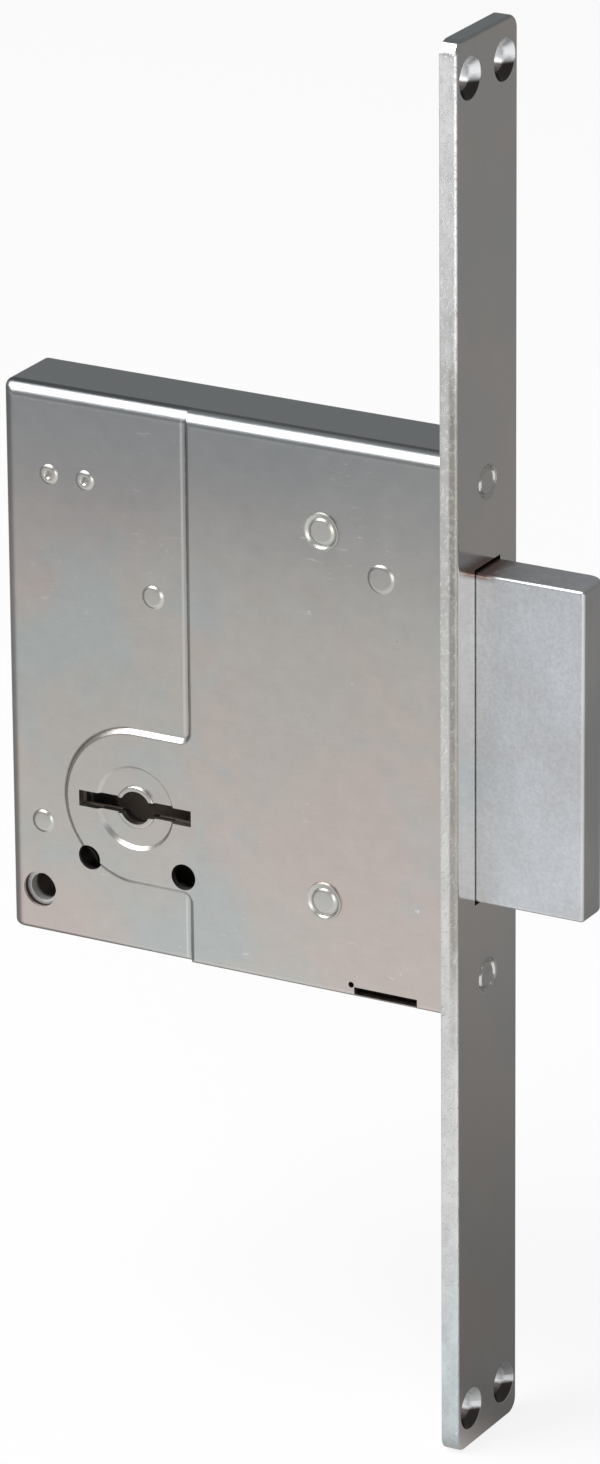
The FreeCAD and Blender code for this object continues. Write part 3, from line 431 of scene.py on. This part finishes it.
def inner_side_shade(x, y, z):
    """1 on the walls' inner sides and in the holes, where the zinc is dull and painted shade darkens it."""
    inside = y.rise(-5.85 * MM, -5.65 * MM) * y.rise(5.9 * MM, 5.6 * MM)
    inside = inside * x.rise(SHELL_LOW.x + 0.9 * MM, SHELL_LOW.x + 1.15 * MM)
    inside = inside * z.rise(SHELL_HIGH.z - 0.9 * MM, SHELL_HIGH.z - 1.15 * MM)
    return inside * z.rise(SHELL_LOW.z + 0.06 * MM, SHELL_LOW.z + 0.16 * MM)


def faceplate_zinc(finishes):
    """Polished front with fine upright lines, and bright, speckled sheared sides with a painted highlight
    near their head. Painted shade on the top end and low in the screw holes, and painted glare in the
    countersinks.
    """
    paint = Paint("faceplate_zinc_look")
    here = paint.place()
    x, y, z = paint.parts(here)
    lines = paint.noise(paint.place(stretch=(1, 1, 0.02)), 0.22, 3, 0.6)
    cloud = paint.noise(here, 24, 3, 0.5, 0.3)
    front = paint.blend(cloud.rise(0.4, 0.7), finishes.face_colour, finishes.face_cool)
    front = paint.lift(front, 0.95 + lines * 0.08)
    chips = paint.noise(paint.place(stretch=(1, 1, 0.8)), 0.60, 3, 0.6).rise(0.50, 0.68)
    torn = paint.noise(paint.place(stretch=(0.8, 1, 0.55)), 2.2, 3, 0.6)
    beside_case = (abs(z - SIDE_MIDDLE) + (torn - 0.5) * 26 * MM).rise(*SIDE_BY_CASE)
    # Lighter and bluer towards the foot, a tint with painted sheen. Near white towards the head, a painted
    # highlight.
    side = paint.blend(z.rise(-70 * MM, -100 * MM), finishes.side_colour, SIDE_FOOT_TINT_AND_SHEEN)
    side = paint.blend(z.rise(50 * MM, 75 * MM), side, SIDE_HEAD_HIGHLIGHT)
    broken = (x + (torn - 0.5) * 0.5 * MM).rise(*SHEAR_END)
    sheared = paint.blend(broken, SHEARED_ZINC, BROKEN_ZINC)
    side = paint.blend(beside_case, side, sheared)
    side = paint.blend(chips * 0.24, paint.lift(side, 0.70 + torn * 0.5), CHIPPED_ZINC)
    on_side = abs(y).rise(*FACE_SIDES)
    colour = paint.blend(on_side, front, side)
    behind = x.rise(*FACE_REAR)
    colour = paint.blend(behind * 0.4, colour, finishes.case_cool)
    specks = paint.specks(here, 6, 0.12, 0.12)
    colour = paint.blend(specks * 0.5, colour, SPECKED_ZINC)
    # The top end is painted darker and bluish: painted shade with a tint.
    on_top = z.rise(*FACE_TOP) * (1 - on_side)
    colour = paint.blend(on_top * 0.8, colour, FACE_TOP_TINT_AND_SHADE)
    sink, low, bore = screw_holes(x, y, z)
    # Countersinks and upper bores are painted near white: bright cut zinc with painted glare.
    colour = paint.blend(sink, colour, SINK_ZINC_AND_GLARE)
    colour = paint.blend(bore * 0.6, colour, SINK_ZINC_AND_GLARE)
    # Painted shade in the low part of each countersink and bore.
    colour = paint.blend(bore.most(sink) * low * 0.95, colour, finishes.grime)
    rough = 0.10 + lines * 0.05 + cloud * 0.04 + on_side * (0.16 + chips * 0.2) + bore * 0.3 + sink * 0.12
    height = lines * 0.2 * (1 - on_side) + on_side * (chips * 1.4 + torn * 1.2)
    return paint.metal(colour, rough, paint.bump(height, 0.05))


def screw_holes(x, y, z):
    """Masks of the four screw holes: their countersinks, each hole's low part where shade is painted, and
    their bores.
    """
    outwards = abs(z) - SCREW_ROW
    from_axis = ((abs(y) - SCREW_SIDE) ** 2.0 + outwards ** 2.0) ** 0.5
    sink = from_axis.rise(*SINK_RIM) * x.rise(*SINK_TOP)
    up_or_down = (z * (1 / MM)).least(1.0).most(-1.0)
    low = (outwards * up_or_down).rise(*SINK_LOW_PART)
    bore = from_axis.rise(*SCREW_BORE) * x.rise(*BORE_DEPTH)
    return sink, low, bore


def bolt_zinc(finishes):
    """Sandy milled sides and an end with upright brush lines. Painted shade inside the case, and a
    rust-brown patch with painted shadow on the top by the faceplate.
    """
    paint = Paint("bolt_zinc_look")
    here = paint.place()
    x, _, z = paint.parts(here)
    sand = paint.noise(here, 0.60, 4, 0.7)
    drift = paint.noise(paint.place(stretch=(1, 1, 0.25)), 1.5, 3, 0.6)
    cloud = paint.noise(here, 14, 3, 0.5)
    side = paint.blend(cloud.rise(0.35, 0.7), finishes.bolt_colour, BOLT_CLOUD)
    side = paint.lift(side, 0.79 + sand.rise(0.25, 0.75) * 0.17 + drift * 0.12)
    lines = paint.noise(paint.place(stretch=(1, 1, 0.012)), 0.30, 3, 0.65)
    end = paint.blend(cloud.rise(0.35, 0.65), finishes.bolt_end_colour, BOLT_END_CLOUD)
    end = paint.lift(end, 0.84 + lines * 0.32)
    on_end = x.rise(*BOLT_END)
    colour = paint.blend(on_end, side, end)
    # Painted shade on the part of the bolt inside the case.
    hidden = x.rise(*BOLT_IN_CASE)
    colour = paint.blend(hidden * 0.25, colour, finishes.grime)
    # A brown patch on the bolt's top by the faceplate: rust with painted shadow.
    ragged = paint.noise(here, 1.8, 3, 0.6) * 3 * MM
    rust_and_shadow = (x + ragged).rise(*BOLT_RUST_AND_SHADOW) * z.rise(*BOLT_TOP)
    colour = paint.blend(rust_and_shadow * 0.8, colour, RUST_AND_SHADOW_BROWN)
    rough = 0.26 + sand * 0.16 + drift * 0.05 - on_end * (0.06 - lines * 0.05)
    height = (sand * 0.8 + drift * 0.5) * (1 - on_end) + on_end * lines * 0.35
    return paint.metal(colour, rough, paint.bump(height, 0.03))


def rivet_steel(finishes):
    """Turned and peened steel with a thin zinc coat."""
    paint = Paint("rivet_steel_look")
    here = paint.place()
    grain = paint.noise(here, 0.30, 4, 0.65)
    dents = paint.noise(here, 0.9, 2, 0.5)
    cloud = paint.noise(here, 5, 2, 0.5)
    colour = paint.blend(cloud.rise(0.4, 0.6), finishes.rivet_colour, RIVET_CLOUD)
    colour = paint.lift(colour, 0.90 + grain * 0.12 + dents * 0.08)
    x, y = paint.parts(here)[:2]
    # Painted shade on the parts of the rivets and posts inside the case.
    inside = y.rise(-4.1 * MM, -3.5 * MM) * y.rise(*INSIDE_BACK) * x.rise(-0.5 * MM, -1.5 * MM)
    colour = paint.blend(inside * 0.94, colour, finishes.grime)
    rough = 0.26 + grain * 0.10 + dents * 0.06
    return paint.metal(colour, rough, paint.bump(grain * 0.4 + dents, 0.03))


def tube_zinc(finishes):
    """Dull zinc on the corner tube, with painted shade deeper in its bore."""
    paint = Paint("tube_zinc_look")
    here = paint.place()
    y = paint.parts(here)[1]
    grain = paint.noise(here, 0.5, 3, 0.6)
    colour = paint.lift(paint.blend(grain, finishes.rivet_colour, PALE_TUBE), 0.9 + grain * 0.2)
    # Painted shade deeper in the bore.
    deep = y.rise(-3.9 * MM, -2.9 * MM) * y.rise(*INSIDE_BACK)
    colour = paint.blend(deep * 0.96, colour, TUBE_BORE_SHADE)
    return paint.metal(colour, 0.36 + grain * 0.12, paint.bump(grain, 0.02), 0.55)


def face_rivet(finishes):
    """Rivet ends polished together with the faceplate, a little cooler than its front."""
    paint = Paint("face_rivet_look")
    here = paint.place()
    lines = paint.noise(paint.place(stretch=(1, 1, 0.05)), 0.22, 3, 0.6)
    dents = paint.noise(here, 0.8, 2, 0.5)
    colour = paint.lift(paint.blend(dents, finishes.face_colour, finishes.face_cool), 0.93 + lines * 0.1)
    rough = 0.12 + lines * 0.06 + dents * 0.05
    return paint.metal(colour, rough, paint.bump(dents + lines * 0.2, 0.03))


def inner_steel(finishes):
    """Oiled plain steel, darker than the case."""
    paint = Paint("inner_steel_look")
    here = paint.place()
    grain = paint.noise(here, 0.5, 4, 0.65)
    cloud = paint.noise(here, 8, 3, 0.6)
    stains = paint.noise(here, 3, 3, 0.6, 0.5).rise(0.55, 0.75)
    colour = paint.blend(cloud, finishes.inner_colour, INNER_CLOUD)
    colour = paint.blend(stains * 0.5, colour, finishes.grime)
    colour = paint.lift(colour, 0.88 + grain * 0.24)
    rough = 0.34 + cloud * 0.12 + grain * 0.08
    return paint.metal(colour, rough, paint.bump(grain, 0.02), 0.45)


def lever_steel(finishes):
    """Stamped steel with rolling lines along it."""
    paint = Paint("lever_steel_look")
    here = paint.place()
    lines = paint.noise(paint.place(stretch=(0.04, 1, 1)), 0.35, 3, 0.6)
    cloud = paint.noise(here, 9, 3, 0.6)
    colour = paint.blend(cloud.rise(0.4, 0.65), finishes.lever_colour, LEVER_CLOUD)
    colour = paint.lift(colour, 0.88 + lines * 0.24)
    rough = 0.27 + lines * 0.12 + cloud * 0.06
    return paint.metal(colour, rough, paint.bump(lines, 0.015))


def spring_steel(finishes):
    """Blued spring leaf with straw tints."""
    paint = Paint("spring_steel_look")
    heat = paint.noise(paint.place(stretch=(1, 1, 0.5)), 7, 3, 0.6, 0.4)
    lines = paint.noise(paint.place(stretch=(0.05, 1, 1)), 0.25, 3, 0.6)
    colour = paint.blend(heat.rise(0.5, 0.75), finishes.spring_colour, STRAW_TINT)
    colour = paint.lift(colour, 0.85 + lines * 0.3)
    return paint.metal(colour, 0.22 + lines * 0.12, paint.bump(lines, 0.01, 0.5))


LOOKS = {
    "case_zinc": case_zinc,
    "faceplate_zinc": faceplate_zinc,
    "bolt_zinc": bolt_zinc,
    "rivet_steel": rivet_steel,
    "tube_zinc": tube_zinc,
    "face_rivet": face_rivet,
    "inner_steel": inner_steel,
    "lever_steel": lever_steel,
    "spring_steel": spring_steel,
}


def look(finish, settings):
    """The material of a finish, made once. Most finishes have the name of their slot."""
    made = bpy.data.materials.get(finish + "_look")
    return made or LOOKS[finish](settings.finishes)


def slot_of(node):
    for row in frame["record"]["subparts"]:
        if row["node"] == node:
            return row["material_slot"]
    raise RuntimeError("no material slot is named for " + node)


def body_of(node):
    for body, nodes in frame["record"]["behaviour"]["bodies"].items():
        if node in nodes:
            return body
    raise RuntimeError("no body holds " + node)


def dress(nodes, settings):
    """Gives CAD nodes the material of their slot."""
    for name in nodes:
        node = frame["nodes"][name]
        material = look(slot_of(name), settings)
        for entry in node.material_slots:
            entry.material = material


# Turned pieces

NEAR_SIDE = Vector((0, -1, 0))
THROW = Vector((1, 0, 0))
MERGE_GAP = 1e-6
SMOOTH_ANGLE = radians(38)
CHAMFER = 0.12


def turn_profile(profile, centre, axis, steps):
    """A closed turned solid. profile holds (radius, height) in millimetres, from the axis to the axis."""
    mesh = bmesh.new()
    across = Vector((1, 0, 0)) if abs(axis.x) < 0.5 else Vector((0, 1, 0))
    verts = [
        mesh.verts.new(centre + across * radius * MM + axis * height * MM)
        for radius, height in profile]
    edges = [mesh.edges.new(pair) for pair in zip(verts, verts[1:])]
    bmesh.ops.spin(
        mesh, geom=verts + edges, cent=centre, axis=axis, dvec=(0, 0, 0), angle=2 * pi, steps=steps,
        use_merge=True)
    bmesh.ops.remove_doubles(mesh, verts=mesh.verts, dist=MERGE_GAP)
    bmesh.ops.recalc_face_normals(mesh, faces=mesh.faces)
    return mesh


def crown_points(crown, height, foot, run):
    """A flat crown whose edge falls evenly over its last stretch, as (radius, height)."""
    fall = height - foot
    return [
        (0, height), (crown - run * 1.6, height - fall * 0.01), (crown - run, height - fall * 0.07),
        (crown - run * 0.8, height - fall * 0.21), (crown - run * 0.2, height - fall * 0.79), (crown, foot)]


def peened_head(seat, crown, groove, rim, foot, height):
    """A riveted head on its seat: a flat crown, a groove round it and a raised rim with a steep outside."""
    points = crown_points(crown, height * 0.95, height * 0.12, 0.40)
    points += [(groove - 0.05, height * 0.05), (groove + 0.05, height * 0.05)]
    points += [(groove + 0.15, height * 0.18), (rim - 0.15, height * 0.78), (rim - 0.05, height * 0.96)]
    points += [(rim, height), (foot - 0.09, height * 0.96), (foot - 0.02, height * 0.55), (foot, 0)]
    return [(radius, seat + rise) for radius, rise in points]


def small_head(seat, crown, foot, height):
    """A small riveted head: a flat crown on its seat."""
    points = crown_points(crown, height, height * 0.05, 0.46) + [(foot, 0)]
    return [(radius, seat + rise) for radius, rise in points]


def shaft(*steps):
    """The steps behind a head, each (radius, from, to) with falling heights. The far edge is chamfered."""
    points = []
    for radius, high, low in steps:
        points += [(radius, high), (radius, low)]
    last_radius, last_low = points[-1]
    points[-1:] = [(last_radius, last_low + CHAMFER), (last_radius - CHAMFER, last_low), (0, last_low)]
    return points


def on_axis(node, axis):
    """The point where a turned node's axis crosses the plane through the origin."""
    low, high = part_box(node)
    middle = (low + high) / 2
    return middle - axis * middle.dot(axis)


def finish_piece(name, mesh, material, body, replaced):
    """Makes the object of a piece, smooth where its faces meet at a small angle."""
    data = bpy.data.meshes.new(name)
    mesh.to_mesh(data)
    mesh.free()
    piece = bpy.data.objects.new(name, data)
    bpy.context.scene.collection.objects.link(piece)
    data.materials.append(material)
    for face in data.polygons:
        face.use_smooth = True
    data.set_sharp_from_angle(angle=SMOOTH_ANGLE)
    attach(piece, body)
    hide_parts(*replaced)


class LockOperator:
    """What the operators share."""
    bl_options = {"REGISTER", "UNDO"}

    @property
    def choices(self):
        return bpy.context.scene.lock_settings

    def fit_turned(self, name, ending, profile, axis, finish):
        """Turns a profile round a node's own axis, and puts the piece in the node's place."""
        mesh = turn_profile(profile, on_axis(name, axis), axis, self.choices.fittings.ring_steps)
        material = look(finish, self.choices)
        finish_piece(name + ending, mesh, material, body_of(name), (name,))


class LOCK_OT_case_finish(LockOperator, bpy.types.Operator):
    """Gives the case shell and the back plate their satin zinc"""
    bl_idname = "lock.case_finish"
    bl_label = "Case finish"

    def execute(self, context):
        dress(("case_shell", "case_back_plate"), self.choices)
        return {"FINISHED"}


class LOCK_OT_faceplate_finish(LockOperator, bpy.types.Operator):
    """Gives the faceplate its polished front and bright sides"""
    bl_idname = "lock.faceplate_finish"
    bl_label = "Faceplate finish"

    def execute(self, context):
        dress(("faceplate",), self.choices)
        return {"FINISHED"}


class LOCK_OT_bolt_finish(LockOperator, bpy.types.Operator):
    """Gives the bolt its milled sides and brushed end, and its tail plain steel"""
    bl_idname = "lock.bolt_finish"
    bl_label = "Bolt finish"

    def execute(self, context):
        dress(
            ("bolt_head", "bolt_tail_plate", "bolt_stump", "bolt_rivet_upper", "bolt_rivet_lower"),
            self.choices)
        return {"FINISHED"}


class LOCK_OT_inner_finish(LockOperator, bpy.types.Operator):
    """Gives the levers, springs, guards and pins their steels, and the corner tube its zinc"""
    bl_idname = "lock.inner_finish"
    bl_label = "Inner finish"

    def execute(self, context):
        inner = [name for name in frame["nodes"] if name.startswith("lever_")]
        inner += ["spring_block", "key_guard_near", "key_guard_far"]
        inner += [name for name in frame["nodes"] if slot_of(name) == "rivet_steel"]
        dress(inner, self.choices)
        for entry in frame["nodes"]["corner_spacer_tube"].material_slots:
            entry.material = look("tube_zinc", self.choices)
        return {"FINISHED"}


# Sizes of the turned pieces, in millimetres. Heights count from the case's middle plane towards the near
# side, and on the faceplate's rivets from the faceplate's rear face. A foot is a head's widest radius

FIELD = 7.0
LOWER = 6.2
SHEET = 1.2
BACK = SHELL_HIGH.y / MM
HEAD_HEIGHT = 0.34
POST_BODY, POST_END, POST_FOOT = 3.3, 2.2, 3.15
PIN_BODY, PIN_END, PIN_FOOT = 2.1, 1.4, 2.05
BLOCK_RIVET, BLOCK_RIVET_FOOT = 1.2, 1.68
FACE_RIVET, FACE_RIVET_NECK = 3.0, 2.0
FACE_RIVET_SEAT, FACE_RIVET_TAIL = 1.2, -2.2


class LOCK_OT_large_heads(LockOperator, bpy.types.Operator):
    """Adds the two posts whose large heads are peened over the case face"""
    bl_idname = "lock.large_heads"
    bl_label = "Large heads"

    def execute(self, context):
        sizes = self.choices.fittings
        for name in ("front_post_upper", "front_post_lower"):
            profile = peened_head(
                FIELD, sizes.large_crown / MM, sizes.large_groove / MM, sizes.large_rim / MM, POST_FOOT,
                HEAD_HEIGHT)
            profile += shaft(
                (POST_END, FIELD, FIELD - SHEET), (POST_BODY, FIELD - SHEET, SHEET - BACK),
                (POST_END, SHEET - BACK, -BACK))
            self.fit_turned(name, "_peened", profile, NEAR_SIDE, "rivet_steel")
        return {"FINISHED"}


class LOCK_OT_small_heads(LockOperator, bpy.types.Operator):
    """Adds the lever pin and the pillar, with small peened heads on the lower part of the case face"""
    bl_idname = "lock.small_heads"
    bl_label = "Small heads"

    def execute(self, context):
        sizes = self.choices.fittings
        for name in ("lever_guide_pin_rear", "rear_pillar"):
            profile = small_head(LOWER, sizes.small_crown / MM, PIN_FOOT, HEAD_HEIGHT)
            profile += shaft(
                (PIN_END, LOWER, LOWER - SHEET), (PIN_BODY, LOWER - SHEET, SHEET - BACK),
                (PIN_END, SHEET - BACK, -BACK))
            self.fit_turned(name, "_peened", profile, NEAR_SIDE, "rivet_steel")
        return {"FINISHED"}


class LOCK_OT_pitted_rivets(LockOperator, bpy.types.Operator):
    """Adds the two small rivets of the spring block, with a punched pit in each head"""
    bl_idname = "lock.pitted_rivets"
    bl_label = "Pitted rivets"

    def execute(self, context):
        sizes = self.choices.fittings
        pit = sizes.pit_radius / MM
        depth = sizes.pit_depth / MM
        for name in ("spring_block_rivet_1", "spring_block_rivet_2"):
            head = [
                (0, -depth), (pit * 0.35, -depth * 0.95), (pit * 0.75, -depth * 0.1), (pit, 0.14),
                (pit * 1.2, 0.26), (pit * 1.5, 0.33), (pit * 1.9, HEAD_HEIGHT), (pit * 2.4, 0.28),
                (pit * 2.8, 0.14), (BLOCK_RIVET_FOOT, 0)]
            profile = [(radius, LOWER + rise) for radius, rise in head]
            profile += shaft((BLOCK_RIVET, LOWER, -BACK))
            self.fit_turned(name, "_pitted", profile, NEAR_SIDE, "rivet_steel")
        return {"FINISHED"}


class LOCK_OT_face_rivets(LockOperator, bpy.types.Operator):
    """Adds the two flush rivets of the faceplate, with a ring pressed into each"""
    bl_idname = "lock.face_rivets"
    bl_label = "Faceplate rivets"

    def execute(self, context):
        sizes = self.choices.fittings
        front = FACE_HIGH.x / MM
        groove = sizes.face_groove / MM
        for name in ("faceplate_rivet_upper", "faceplate_rivet_lower"):
            head = [
                (0, -0.05), (groove - 1.0, -0.04), (groove - 0.6, 0), (groove - 0.46, -0.05),
                (groove - 0.28, -0.20), (groove - 0.06, -0.50), (groove + 0.06, -0.50),
                (groove + 0.28, -0.20), (groove + 0.42, -0.06), (FACE_RIVET, -0.03)]
            profile = [(radius, front + rise) for radius, rise in head]
            profile += shaft(
                (FACE_RIVET, front - 0.1, front - FACE_RIVET_SEAT),
                (FACE_RIVET_NECK, front - FACE_RIVET_SEAT, -SHEET), (FACE_RIVET, -SHEET, FACE_RIVET_TAIL))
            self.fit_turned(name, "_ringed", profile, THROW, "face_rivet")
        return {"FINISHED"}


# The stage: places in metres, the film's width in millimetres, and the floor's strength to the camera.
# FLOOR_MIDDLE_X lies under the middle of the case

CAMERA_PLACE = Vector((0.5995, -1.1249, 0.4890))
FILM_WIDTH = 36
NEAREST_SEEN = 0.05
FLOOR_HALF = 9
FLOOR_GAP = 0.1 * MM
FLOOR_MIDDLE_X = -0.04
FLOOR_TO_CAMERA = 1.05


def camera_turn(studio):
    """The camera's turn from its azimuth, elevation and roll."""
    level = Euler((pi / 2 - studio.elevation, 0, studio.azimuth), "XYZ").to_matrix()
    return level @ Matrix.Rotation(studio.roll, 3, "Z")


def between(angle, start, end):
    """0 up to start degrees and 1 from end on, for an angle in radians."""
    return angle.rise(radians(start), radians(end))


class LOCK_OT_stage(LockOperator, bpy.types.Operator):
    """Adds the floor, the lights and the camera"""
    bl_idname = "lock.stage"
    bl_label = "Stage"

    def execute(self, context):
        studio = self.choices.studio
        self.add_floor(studio)
        self.add_lights(studio)
        self.add_camera(studio)
        context.scene.view_settings.view_transform = "Standard"
        return {"FINISHED"}

    def add_floor(self, studio):
        """The floor just under the faceplate's lower end."""
        mesh = bmesh.new()
        bmesh.ops.create_grid(mesh, x_segments=8, y_segments=8, size=FLOOR_HALF)
        bmesh.ops.translate(mesh, verts=mesh.verts, vec=(0, 0, FACE_LOW.z - FLOOR_GAP))
        data = bpy.data.meshes.new("floor")
        mesh.to_mesh(data)
        mesh.free()
        floor = bpy.data.objects.new("floor", data)
        bpy.context.scene.collection.objects.link(floor)
        data.materials.append(self.floor_paint(studio))

    def floor_paint(self, studio):
        """A pale floor that keeps the shadow. The camera sees it white. In metal it is white ahead of the
        case face but for a soft dark band, and grey elsewhere."""
        paint = Paint("floor_look")
        matt = paint.node(
            "ShaderNodeBsdfDiffuse", None, Color=shade(studio.floor_colour), Roughness=1.0)
        x, y = paint.parts(paint.place())[:2]
        across = x - FLOOR_MIDDLE_X
        reach = (across * across + y * y) ** 0.5
        side = paint.node("ShaderNodeMath", {"operation": "ARCTAN2"}, 0 - across, 0 - y)
        turned = side - reach.rise(0.10, 0.02) * radians(24)
        ahead = between(turned, 66, 48) * between(turned, -120, -70)
        band = reach.rise(0.20, 0.47) * reach.rise(0.66, 0.54) * between(side, -35, 5)
        ahead = ahead * (1.0 - band * 0.85) * (0.88 + between(side, 33, 42) * 0.12)
        behind = studio.floor_behind * (0.58 + reach.rise(0.05, 0.34) * 0.42)
        seen = behind + ahead * (1.0 - behind)
        camera = paint.node("ShaderNodeLightPath", out="Is Camera Ray")
        glossy = camera.beside("Is Glossy Ray")
        strength = camera * FLOOR_TO_CAMERA + (1 - camera) * seen
        white = paint.node("ShaderNodeEmission", None, Color=(1, 1, 1, 1), Strength=strength)
        share = (camera * 0.8).most(glossy * 0.9)
        return paint.finish(paint.node("ShaderNodeMixShader", None, share, matt, white))

    def add_lights(self, studio):
        """An even white world, a large softbox above on the left and a small one on the right."""
        world = bpy.data.worlds.new("studio_air")
        world.use_nodes = True
        air = world.node_tree.nodes["Background"]
        air.inputs["Color"].default_value = (1, 1, 1, 1)
        air.inputs["Strength"].default_value = studio.fill
        bpy.context.scene.world = world
        self.add_softbox(
            "key_softbox", direction=(-0.42, -0.42, 0.82), distance=1.2, size=0.95,
            radiance=studio.key_power)
        self.add_softbox(
            "side_softbox", direction=(0.52, -0.83, 0.14), distance=1.0, size=0.46,
            radiance=studio.side_power)

    def add_softbox(self, name, direction, distance, size, radiance):
        """A square light that faces the origin, seen from there as a square of this radiance."""
        light = bpy.data.lights.new(name, "AREA")
        light.shape = "SQUARE"
        light.size = size
        light.energy = radiance * pi * size * size
        box = bpy.data.objects.new(name, light)
        bpy.context.scene.collection.objects.link(box)
        away = Vector(direction).normalized()
        box.location = away * distance
        box.rotation_euler = away.to_track_quat("Z", "Y").to_euler()

    def add_camera(self, studio):
        """The camera at the photograph's place and angle."""
        data = bpy.data.cameras.new("camera")
        data.sensor_width = FILM_WIDTH
        data.lens = studio.lens
        data.clip_start = NEAREST_SEEN
        camera = bpy.data.objects.new("camera", data)
        bpy.context.scene.collection.objects.link(camera)
        camera.matrix_world = Matrix.Translation(CAMERA_PLACE) @ camera_turn(studio).to_4x4()
        bpy.context.scene.camera = camera


class LOCK_PT_panel(bpy.types.Panel):
    """Lists the steps that dress the lock"""
    bl_idname = "LOCK_PT_panel"
    bl_label = "Mortise deadlock"
    bl_space_type = "VIEW_3D"
    bl_region_type = "UI"
    bl_category = "Lock"

    def draw(self, context):
        for operator in OPERATORS:
            self.layout.operator(operator.bl_idname)


OPERATORS = (
    LOCK_OT_case_finish,
    LOCK_OT_faceplate_finish,
    LOCK_OT_bolt_finish,
    LOCK_OT_inner_finish,
    LOCK_OT_large_heads,
    LOCK_OT_small_heads,
    LOCK_OT_pitted_rivets,
    LOCK_OT_face_rivets,
    LOCK_OT_stage,
)
CLASSES = (LockFinishes, LockFittings, LockStudio, LockSettings) + OPERATORS + (LOCK_PT_panel,)


def register():
    for entry in CLASSES:
        bpy.utils.register_class(entry)
    bpy.types.Scene.lock_settings = PointerProperty(type=LockSettings)


def unregister():
    del bpy.types.Scene.lock_settings
    for entry in reversed(CLASSES):
        bpy.utils.unregister_class(entry)


def main():
    register()
    bpy.ops.lock.case_finish()
    bpy.ops.lock.faceplate_finish()
    bpy.ops.lock.bolt_finish()
    bpy.ops.lock.inner_finish()
    bpy.ops.lock.large_heads()
    bpy.ops.lock.small_heads()
    bpy.ops.lock.pitted_rivets()
    bpy.ops.lock.face_rivets()
    bpy.ops.lock.stage()


if __name__ == "__main__":
    main()
